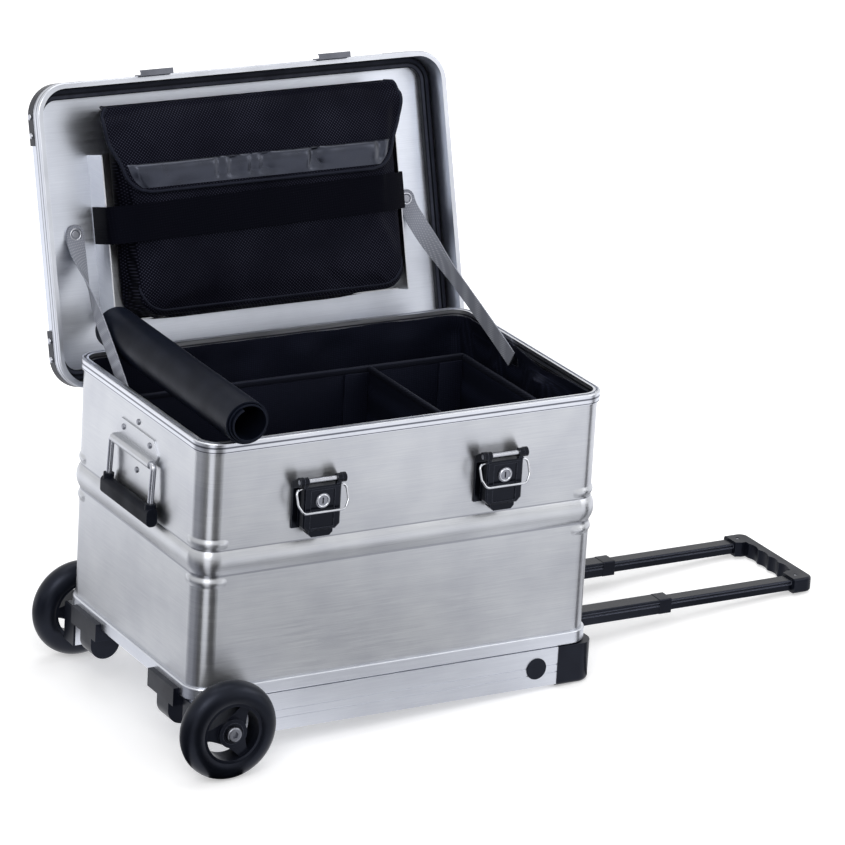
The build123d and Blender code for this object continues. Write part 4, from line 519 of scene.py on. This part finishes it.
def through(stops, t):
    """A smooth path through rows of numbers: the first of each row is where along the path it lies."""
    k = max(1, min(len(stops) - 1, next((i for i, row in enumerate(stops) if row[0] >= t), len(stops) - 1)))
    a, b = stops[k - 1], stops[k]
    before, after = stops[max(k - 2, 0)], stops[min(k + 1, len(stops) - 1)]
    span = b[0] - a[0]
    f = (t - a[0]) / span
    out = []
    for i in range(1, len(a)):
        rise = (b[i] - before[i]) / (b[0] - before[0]) * span
        fall = (after[i] - a[i]) / (after[0] - a[0]) * span
        out.append(a[i] * (1 + 2 * f) * (1 - f) ** 2 + rise * f * (1 - f) ** 2
                   + b[i] * f * f * (3 - 2 * f) - fall * f * f * (1 - f))
    return out


# The bag's reach across and down the lid, its depth and how far its cloth may swell.
BAG_X = (-189, 209)
BAG_Y = (-152, 119)
BAG_DEPTH = 60
SWELL = 6 * MM


def pouch_bag():
    """Stuffed bag blown up by the cloth simulation, held along its back and its upper edge."""
    piece = box_piece("pouch_bag", (BAG_X[0], BAG_Y[0], LID_FACE - BAG_DEPTH), (BAG_X[1], BAG_Y[1], LID_FACE - 2))
    pick(piece, "EDGE", lambda at, along: abs(along.z) > 0.9 and at.y > 0)
    bpy.ops.mesh.bevel(offset=34 * MM, segments=6)
    pick(piece, "EDGE", lambda at, along: at.z < LID_FACE - BAG_DEPTH + 2 and at.y < BAG_Y[0] + 2)
    bpy.ops.mesh.bevel(offset=16 * MM, segments=3)
    leave_edit()
    modify(piece, "REMESH", mode="VOXEL", voxel_size=5 * MM)
    held = piece.vertex_groups.new(name="held")
    fixed = [p.index for p in piece.data.vertices
             if p.co.z / MM > LID_FACE - 6 or p.co.y / MM < BAG_Y[0] + 2]
    held.add(fixed, 1.0, "REPLACE")
    start = [p.co.copy() for p in piece.data.vertices]
    cloth = piece.modifiers.new("Cloth", "CLOTH")
    cloth.settings.use_pressure = True
    cloth.settings.uniform_pressure_force = 4
    cloth.settings.effector_weights.gravity = 0
    cloth.settings.vertex_group_mass = "held"
    for step in range(1, 21):
        bpy.context.scene.frame_set(step)
    only(piece)
    bpy.ops.object.modifier_apply(modifier=cloth.name)
    bpy.context.scene.frame_set(1)
    for point, was in zip(piece.data.vertices, start):
        move = point.co - was
        point.co = was + move * min(1, SWELL / max(move.length, 1e-9))
    modify(piece, "SUBSURF", levels=1, render_levels=1)
    smooth(piece, 180)
    return piece


bag = pouch_bag()
fit(bag, LID, "pouch_fabric", "lid")
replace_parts(bag, "pouch")
LID_NORMAL = LID.to_3x3() @ Vector((0, 0, 1))


def bag_front(x, y):
    """Level of the bag's front at a place, in the closed lid; beside the bag, that of its nearest place."""
    x = min(max(x, BAG_X[0] + 5), BAG_X[1] - 6)
    y = min(max(y, BAG_Y[0] + 4), BAG_Y[1] - 7)
    hit, where, _, _ = bag.ray_cast(LID @ (Vector((x, y, LID_FACE - 160)) * MM), LID_NORMAL)
    return (LID.inverted() @ where).z / MM if hit else LID_FACE - 50


# The flap from the lid's face over the top of the bag to its foot: share of the way, place down the lid, depth
# and half width.
FLAP_FOOT = -48
FLAP = ((0.0, -155, 5, 190), (0.2, -160.5, 38, 203), (0.29, -157, 50, 212), (0.42, -140, 62, 217),
        (0.6, -112, 68, 211), (0.8, -80, 70, 197), (1.0, FLAP_FOOT, 71, 192))
FLAP_CORNER = 30


def flap_at(u, s, lift=0.0):
    """A point of the flap, u across it from 0 to 1 and s down it: wider than the bag, with round lower corners."""
    y, depth, half = through(FLAP, s)
    over = y - FLAP_FOOT + FLAP_CORNER
    if over > 0:
        half -= FLAP_CORNER - math.sqrt(max(FLAP_CORNER ** 2 - over ** 2, 0))
    x = (2 * u - 1) * half
    level = LID_FACE - depth + 9 * ease((abs(x) - 150) / 70)
    level -= 1.4 * noise.noise(Vector((x / 60, y / 50, 1))) * ease((s - 0.25) / 0.2)
    if s > 0.25:
        level = min(level, bag_front(x, y) - 2.0)
    return x, y, level - lift


def pouch_flap():
    """Flap over the pouch's upper half."""
    flap = grid_piece("pouch_flap_cloth", 110, 48, flap_at)
    modify(flap, "SOLIDIFY", thickness=2.2 * MM, offset=0)
    smooth(flap, 60)
    fit(flap, LID, "pouch_fabric", "lid")
    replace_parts(flap, "pouch_flap")
    return flap


# Creases of the vinyl strip: place across the lid, width and depth.
CREASES = ((-66, 5, 3.0), (-46, 7, 4.5), (-18, 5, 2.6), (0, 7, 4.5), (72, 6, 6.0), (172, 6, 4.0))


def vinyl_strip():
    """Creased glossy strip along the flap's foot: full above, drawn in below."""
    def form(u, v):
        x, y, level = flap_at(0.018 + 0.964 * u, 0.772 + 0.195 * v)
        belly = 1.0 + 5.6 * math.sin(math.pi * v ** 0.5)
        for middle, width, deep in CREASES:
            slide = (x - middle) / width
            slide *= 0.45 if slide > 0 else 1
            belly -= deep * math.exp(-slide * slide) * ease(v / 0.15) * ease((1 - v) / 0.3)
        belly += 1.4 * noise.noise(Vector((x / 40, v * 1.2, 3)))
        fade = min(u, 1 - u, 0.02) / 0.02
        return x, y, level - 1.3 - max(belly, 0.4) * fade
    strip = grid_piece("pouch_vinyl_strip", 190, 20, form)
    modify(strip, "SOLIDIFY", thickness=0.8 * MM, offset=0)
    smooth(strip, 60)
    fit(strip, LID, "pouch_fabric", "lid", "vinyl")
    return strip


def flap_binding():
    """Tape round the flap's free edges."""
    edge = [flap_at(0, s / 50, 0.3) for s in range(12, 51)]
    edge += [flap_at(u / 60, 1, 0.3) for u in range(1, 60)]
    edge += [flap_at(1, s / 50, 0.3) for s in range(50, 11, -1)]
    tape = cord_piece("pouch_flap_binding", edge, 2.6)
    smooth(tape, 180)
    fit(tape, LID, "pouch_fabric", "lid", "binding_tape")
    return tape


def bag_piping():
    """Piping along the seam round the front of the bag."""
    quarter = [k / 8 * math.pi / 2 for k in range(9)]
    seam = [(-151 - 32 * math.cos(a), 74 + 32 * math.sin(a)) for a in quarter]
    seam += [(x, 106) for x in range(-144, 168, 8)]
    seam += [(168 + 32 * math.sin(a), 74 + 32 * math.cos(a)) for a in quarter]
    piping = cord_piece("pouch_piping", [(x, y, bag_front(x, y) + 0.6) for x, y in seam], 1.7)
    smooth(piping, 180)
    fit(piping, LID, "pouch_fabric", "lid", "binding_tape")
    return piping


# The band from its middle to its end on the tray: share of the way, place across the lid and depth.
BAND_END = 217.6
BAND_WIDTH = 48
BAND = ((0.0, 0, 69), (0.5, 130, 68), (0.68, 176, 66), (0.78, 205, 58), (0.82, 215, 50), (0.86, BAND_END, 42),
        (1.0, BAND_END, 6))


def elastic_band():
    """Elastic band drawn straight across the pouch to the tray's flanges and turned back along them."""
    def form(u, v):
        across, depth = through(BAND, abs(2 * u - 1))
        x = math.copysign(across, 2 * u - 1)
        y = -36 + BAND_WIDTH * v - 3.0 * x / 217
        level = LID_FACE - depth
        if across < 180:
            level = min(level, bag_front(x, y) - 2.0)
        return x, y, level
    band = grid_piece("elastic_band", 160, 6, form)
    modify(band, "SOLIDIFY", thickness=1.6 * MM, offset=0)
    smooth(band, 60)
    fit(band, LID, "elastic_webbing", "lid")
    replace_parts(band, "pouch_strap")
    return band


for soft in (bag, pouch_flap(), vinyl_strip(), flap_binding(), bag_piping(), elastic_band()):
    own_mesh(soft)


# ---------------------------------------------------------------------------------------------------------------
# Stays and mat
# ---------------------------------------------------------------------------------------------------------------

def stay_strap(name, side):
    """Flat strap from the wall up to its lug on the lid, with a quarter turn on its way and a round upper end."""
    lid = CASE.inverted() @ LID
    foot = Vector((side * 277.2, 40, 296))
    lug = lid @ (Vector((side * STAY_LUG, 0, LID_FACE - 3.2)) * MM) / MM
    normal = lid.to_3x3() @ Vector((0, 0, 1))
    straight = (foot - lug).normalized()
    down = (straight - normal * straight.dot(normal)).normalized()
    bends = (foot, foot.lerp(lug, 0.45), lug + down * 34, lug)
    wall_across = straight.cross(Vector((side, 0, 0))).normalized()
    lid_across = down.cross(normal).normalized()
    if (wall_across.cross(lid_across)).dot(straight) * side > 0:
        lid_across = -lid_across
    half, share = 12.5, 0.955

    def form(u, v):
        t = min(v / share, 1)
        past = max(v - share, 0) / (1 - share)
        a, b, c, d = bends
        middle = a * (1 - t) ** 3 + b * 3 * t * (1 - t) ** 2 + c * 3 * t * t * (1 - t) + d * t ** 3
        turn = ease((t - 0.38) / 0.55) * math.pi / 2
        across = (wall_across * math.cos(turn) + lid_across * math.sin(turn)).normalized()
        wide = half * math.sqrt(max(1 - past * past, 0.0004))
        return middle - down * half * past + across * (2 * u - 1) * wide
    strap = grid_piece(name, 6, 110, form)
    modify(strap, "SOLIDIFY", thickness=1.5 * MM, offset=0)
    smooth(strap, 40)
    fit(strap, CASE, "grey_webbing")
    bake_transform(strap)
    return strap


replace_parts(stay_strap("stay_strap_wheel_end", -1), "stay_straps")
stay_strap("stay_strap_pull_end", 1)


def stay_eyelets():
    """Pressed ring round each rivet of the stays."""
    rings = []
    for side in (-1, 1):
        bpy.ops.object.select_all(action="DESELECT")
        bpy.ops.mesh.primitive_torus_add(location=(side * STAY_LUG * MM, 0, (LID_FACE - 4.0) * MM),
                                         major_radius=7.2 * MM, minor_radius=1.3 * MM,
                                         major_segments=40, minor_segments=12)
        rings.append(named("ring"))
    piece = joined("stay_eyelets", rings)
    smooth(piece, 180)
    fit(piece, LID, "steel", "lid")


stay_eyelets()


def rolled_mat():
    """Foam mat rolled up in a loose spiral, lying across the rims, its inner turns pushed out at the near end."""
    level, turns, outside, inside = 353.9, 2.6, 28.6, 21.0
    front = Vector((-238, -199, level))
    rear = Vector((-231.5, 180, level))
    axis = (rear - front).normalized()
    side = axis.cross(Vector((0, 0, 1))).normalized()
    up = side.cross(axis)

    def form(u, v):
        turn = -0.5 - u * 2 * math.pi * turns
        radius = outside + (inside - outside) * u
        radius += 0.7 * noise.noise(Vector((math.cos(turn), math.sin(turn), v * 2.5))) * (1 - 0.5 * u)
        slip = -9 * u ** 1.5 * (1 - v)
        around = side * math.cos(turn) * 1.03 + up * math.sin(turn) * 0.98
        return front.lerp(rear, v) + axis * slip + around * radius
    mat = grid_piece("rolled_mat_sheet", 220, 30, form)
    modify(mat, "SOLIDIFY", thickness=1.9 * MM, offset=0)
    smooth(mat, 50)
    fit(mat, CASE, "mat_foam", "case_body")
    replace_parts(mat, "rolled_mat")
    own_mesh(mat)


rolled_mat()


# ---------------------------------------------------------------------------------------------------------------
# Pressed ribs and lock rings
# ---------------------------------------------------------------------------------------------------------------

def corner_ribs():
    """Short ribs pressed into each rounded corner above and below the bead, where the sheet was drawn in."""
    ribs = []
    height, proud_by, reach = 17, 2.6, 14
    arc = CORNER * math.pi / 2
    for ends, sides in ((1, 1), (1, -1), (-1, 1), (-1, -1)):
        for middle in (190.0, 139.0):
            def form(u, v):
                run = u * (arc + 2 * reach) - reach
                turn = min(max(run / CORNER, 0), math.pi / 2)
                x = HALF_LENGTH - CORNER + CORNER * math.cos(turn) - max(run - arc, 0)
                y = HALF_WIDTH - CORNER + CORNER * math.sin(turn) + min(run, 0)
                fade = ease(min(u, 1 - u) / 0.16)
                proud = proud_by * fade * math.cos(math.pi * (v - 0.5)) ** 2 - 0.35
                return (ends * (x + proud * math.cos(turn)), sides * (y + proud * math.sin(turn)),
                        middle + (v - 0.5) * height)
            rib = grid_piece("rib", 60, 12, form)
            only(rib)
            bpy.ops.object.mode_set(mode="EDIT")
            bpy.ops.mesh.select_all(action="SELECT")
            if ends * sides < 0:
                bpy.ops.mesh.flip_normals()
            leave_edit()
            modify(rib, "SOLIDIFY", thickness=0.6 * MM, offset=-1)
            ribs.append(rib)
    piece = joined("corner_ribs", ribs)
    smooth(piece, 180)
    fit(piece, CASE, "aluminium_sheet", "case_body")


def lock_ring(which):
    """Bright turned ring round the face of a lock."""
    back = CASE.inverted()
    points = [back @ p.co for p in nodes[which + "_lock_cylinder"].data.vertices]
    face = min(p.y for p in points)
    rim = [p for p in points if p.y < face + 0.2 * MM]
    middle = sum(rim, Vector()) / len(rim)
    bpy.ops.object.select_all(action="DESELECT")
    bpy.ops.mesh.primitive_torus_add(location=(middle.x, face, middle.z), rotation=(math.pi / 2, 0, 0),
                                     major_radius=7.6 * MM, minor_radius=1.3 * MM,
                                     major_segments=48, minor_segments=12)
    ring = named(which + "_lock_ring")
    smooth(ring, 180)
    fit(ring, CASE, "bright_steel", which + "_lock")


corner_ribs()
lock_ring("left")
lock_ring("right")


# ---------------------------------------------------------------------------------------------------------------
# Stage, light and camera
# ---------------------------------------------------------------------------------------------------------------

def floor():
    """White paper: plain white with the case's shadow to the camera, deepened near the case by painted shade;
    reflections show it as a painted reflection, shaded by its distance from the case and along it."""
    middle, half = (-0.19, -0.05, 0), (0.285, 0.19, 0)
    bpy.ops.object.select_all(action="DESELECT")
    bpy.ops.mesh.primitive_plane_add(size=60)
    piece = named("floor")
    paper = blank("white_paper")
    path = add(paper, "LightPath").outputs
    place = add(paper, "TexCoord").outputs["Object"]
    # Distance from the case's footprint.
    out = add(paper, "VectorMath", {0: place, 1: middle}, operation="SUBTRACT").outputs[0]
    out = add(paper, "VectorMath", {0: out}, operation="ABSOLUTE").outputs[0]
    out = add(paper, "VectorMath", {0: out, 1: half}, operation="SUBTRACT").outputs[0]
    out = add(paper, "VectorMath", {0: out, 1: (0, 0, 0)}, operation="MAXIMUM").outputs[0]
    away = add(paper, "VectorMath", {0: out}, operation="LENGTH").outputs["Value"]
    # To reflections the floor is a glowing painted reflection: bright close by the case, darkest some 0.3 m out,
    # bright again far off, and dimmer across the case's middle than off its ends.
    near = add(paper, "MapRange", {"Value": away, "From Min": 0.1, "From Max": 0.26,
                                   "To Min": 0.95, "To Max": 0.44})
    far = add(paper, "MapRange", {"Value": away, "From Min": 0.3, "From Max": 0.8,
                                  "To Min": 0.44, "To Max": 1.15})
    lift = add(paper, "Math", {0: far.outputs[0], 1: near.outputs[0]}, operation="MAXIMUM")
    end = add(paper, "SeparateXYZ", {0: place}).outputs["X"]
    end = add(paper, "Math", {0: end, 1: 0.12}, operation="ADD").outputs[0]
    end = add(paper, "Math", {0: end}, operation="ABSOLUTE").outputs[0]
    painted_shade_by_end = add(paper, "MapRange", {"Value": end, "From Min": 0.08, "From Max": 0.25,
                                   "To Min": 0.8, "To Max": 1.25})
    lift = add(paper, "Math", {0: lift.outputs[0], 1: painted_shade_by_end.outputs[0]}, operation="MULTIPLY")
    seen = add(paper, "Math", {0: path["Is Camera Ray"], 1: path["Is Transmission Ray"]}, operation="MAXIMUM")
    # The floor's glow to the camera is thinned near the case, so that its shadow there is deepened: painted shade.
    pale = add(paper, "MapRange", {"Value": away, "From Min": 0.2, "From Max": 0.8,
                                   "To Min": 0.38, "To Max": 0.8})
    white = add(paper, "Math", {0: seen.outputs[0], 1: pale.outputs[0]}, operation="MULTIPLY").outputs[0]
    lit = add(paper, "BsdfDiffuse", {"Color": linear("#efeff0")}).outputs[0]
    glow = add(paper, "Emission", {"Strength": white}).outputs[0]
    shown = add(paper, "AddShader", {0: lit, 1: glow}).outputs[0]
    painted_floor_reflection = add(paper, "Emission", {"Color": linear("#fafbff"), "Strength": lift.outputs[0]}).outputs[0]
    both = add(paper, "MixShader", {0: path["Is Glossy Ray"], 1: shown, 2: painted_floor_reflection})
    add(paper, "OutputMaterial", {"Surface": both.outputs[0]})
    piece.data.materials.append(paper)


def reflection_card(name, corner, first, last, shade):
    """Glowing card that only reflections show, which paints a dark or grey band into them as a painted
    reflection: a wedge of the floor between two directions (in degrees) from a corner of the case, turned up
    at its far edge."""
    cx, cy = corner
    turns = [math.radians(first + (last - first) * k / 6) for k in range(7)]
    rows = ((0.02, 0.003), (1.0, 0.003), (1.0, 0.35))
    points = [(cx + reach * math.cos(a), cy + reach * math.sin(a), up) for reach, up in rows for a in turns]
    faces = [(k + row, k + row + 1, k + row + 8, k + row + 7) for row in (0, 7) for k in range(6)]
    mesh = bpy.data.meshes.new(name)
    mesh.from_pydata(points, [], faces)
    piece = bpy.data.objects.new(name, mesh)
    bpy.context.collection.objects.link(piece)
    reflection_paint = blank(name + "_felt")
    # The card's colour glows only in reflections: a painted reflection.
    glow = add(reflection_paint, "Emission", {"Color": linear(shade), "Strength": 1.0})
    add(reflection_paint, "OutputMaterial", {"Surface": glow.outputs[0]})
    mesh.materials.append(reflection_paint)
    piece.visible_camera = piece.visible_diffuse = piece.visible_shadow = piece.visible_transmission = False


def studio():
    """White surroundings and soft lamps."""
    world = bpy.data.worlds.new("studio")
    bpy.context.scene.world = world
    world.use_nodes = True
    world.node_tree.nodes.clear()
    path = add(world, "LightPath").outputs
    seen = add(world, "Math", {0: path["Is Camera Ray"], 1: path["Is Glossy Ray"]}, operation="MAXIMUM")
    seen = add(world, "Math", {0: seen.outputs[0], 1: path["Is Transmission Ray"]}, operation="MAXIMUM")
    strength = add(world, "MapRange", {"Value": seen.outputs[0], "To Min": 0.55, "To Max": 1.0})
    glow = add(world, "Background", {"Color": (1, 1, 1, 1), "Strength": strength.outputs[0]})
    add(world, "OutputWorld", {"Surface": glow.outputs[0]})
    for name, place, aim, size, power in (
            ("key_softbox", (-1.8, -2.2, 2.6), (0, 0, 0.3), 1.8, 40),
            ("fill_softbox", (2.4, -1.8, 1.8), (0, 0, 0.3), 1.6, 16),
            ("top_softbox", (0.2, 0.4, 3.2), (0, 0, 0.2), 2.2, 28)):
        bpy.ops.object.light_add(type="AREA", location=place)
        lamp = bpy.context.object
        lamp.name = name
        lamp.data.size = size
        lamp.data.energy = power
        lamp.rotation_euler = (Vector(aim) - Vector(place)).to_track_quat("-Z", "Y").to_euler()


def photo_camera():
    """Camera at the photograph's viewing angle."""
    bpy.ops.object.camera_add(location=(-2.83939, -5.047, 2.56802),
                              rotation=[math.radians(a) for a in (68.5793, -0.0555, -29.1494)])
    camera = bpy.context.object
    camera.data.lens = 202.7046
    camera.data.sensor_width = 36
    camera.data.clip_end = 100
    bpy.context.scene.camera = camera


floor()
FRONT_LEFT = (-0.448, -0.206)
FRONT_RIGHT = (0.067, -0.206)
# Painted reflections: cards that lay dark and grey bands into the metal's reflections at the two front corners.
reflection_card("painted_reflection_left_far", FRONT_LEFT, 134, 176, "#9c9ea6")
reflection_card("painted_reflection_left_mid", FRONT_LEFT, 176, 197, "#676972")
reflection_card("flag_left", FRONT_LEFT, 196, 219, "#050609")
reflection_card("painted_reflection_front", FRONT_LEFT, 246, 284, "#08090d")
reflection_card("painted_reflection_right", FRONT_RIGHT, -38, -18, "#30323a")
studio()
photo_camera()
bpy.context.scene.view_settings.view_transform = "Standard"
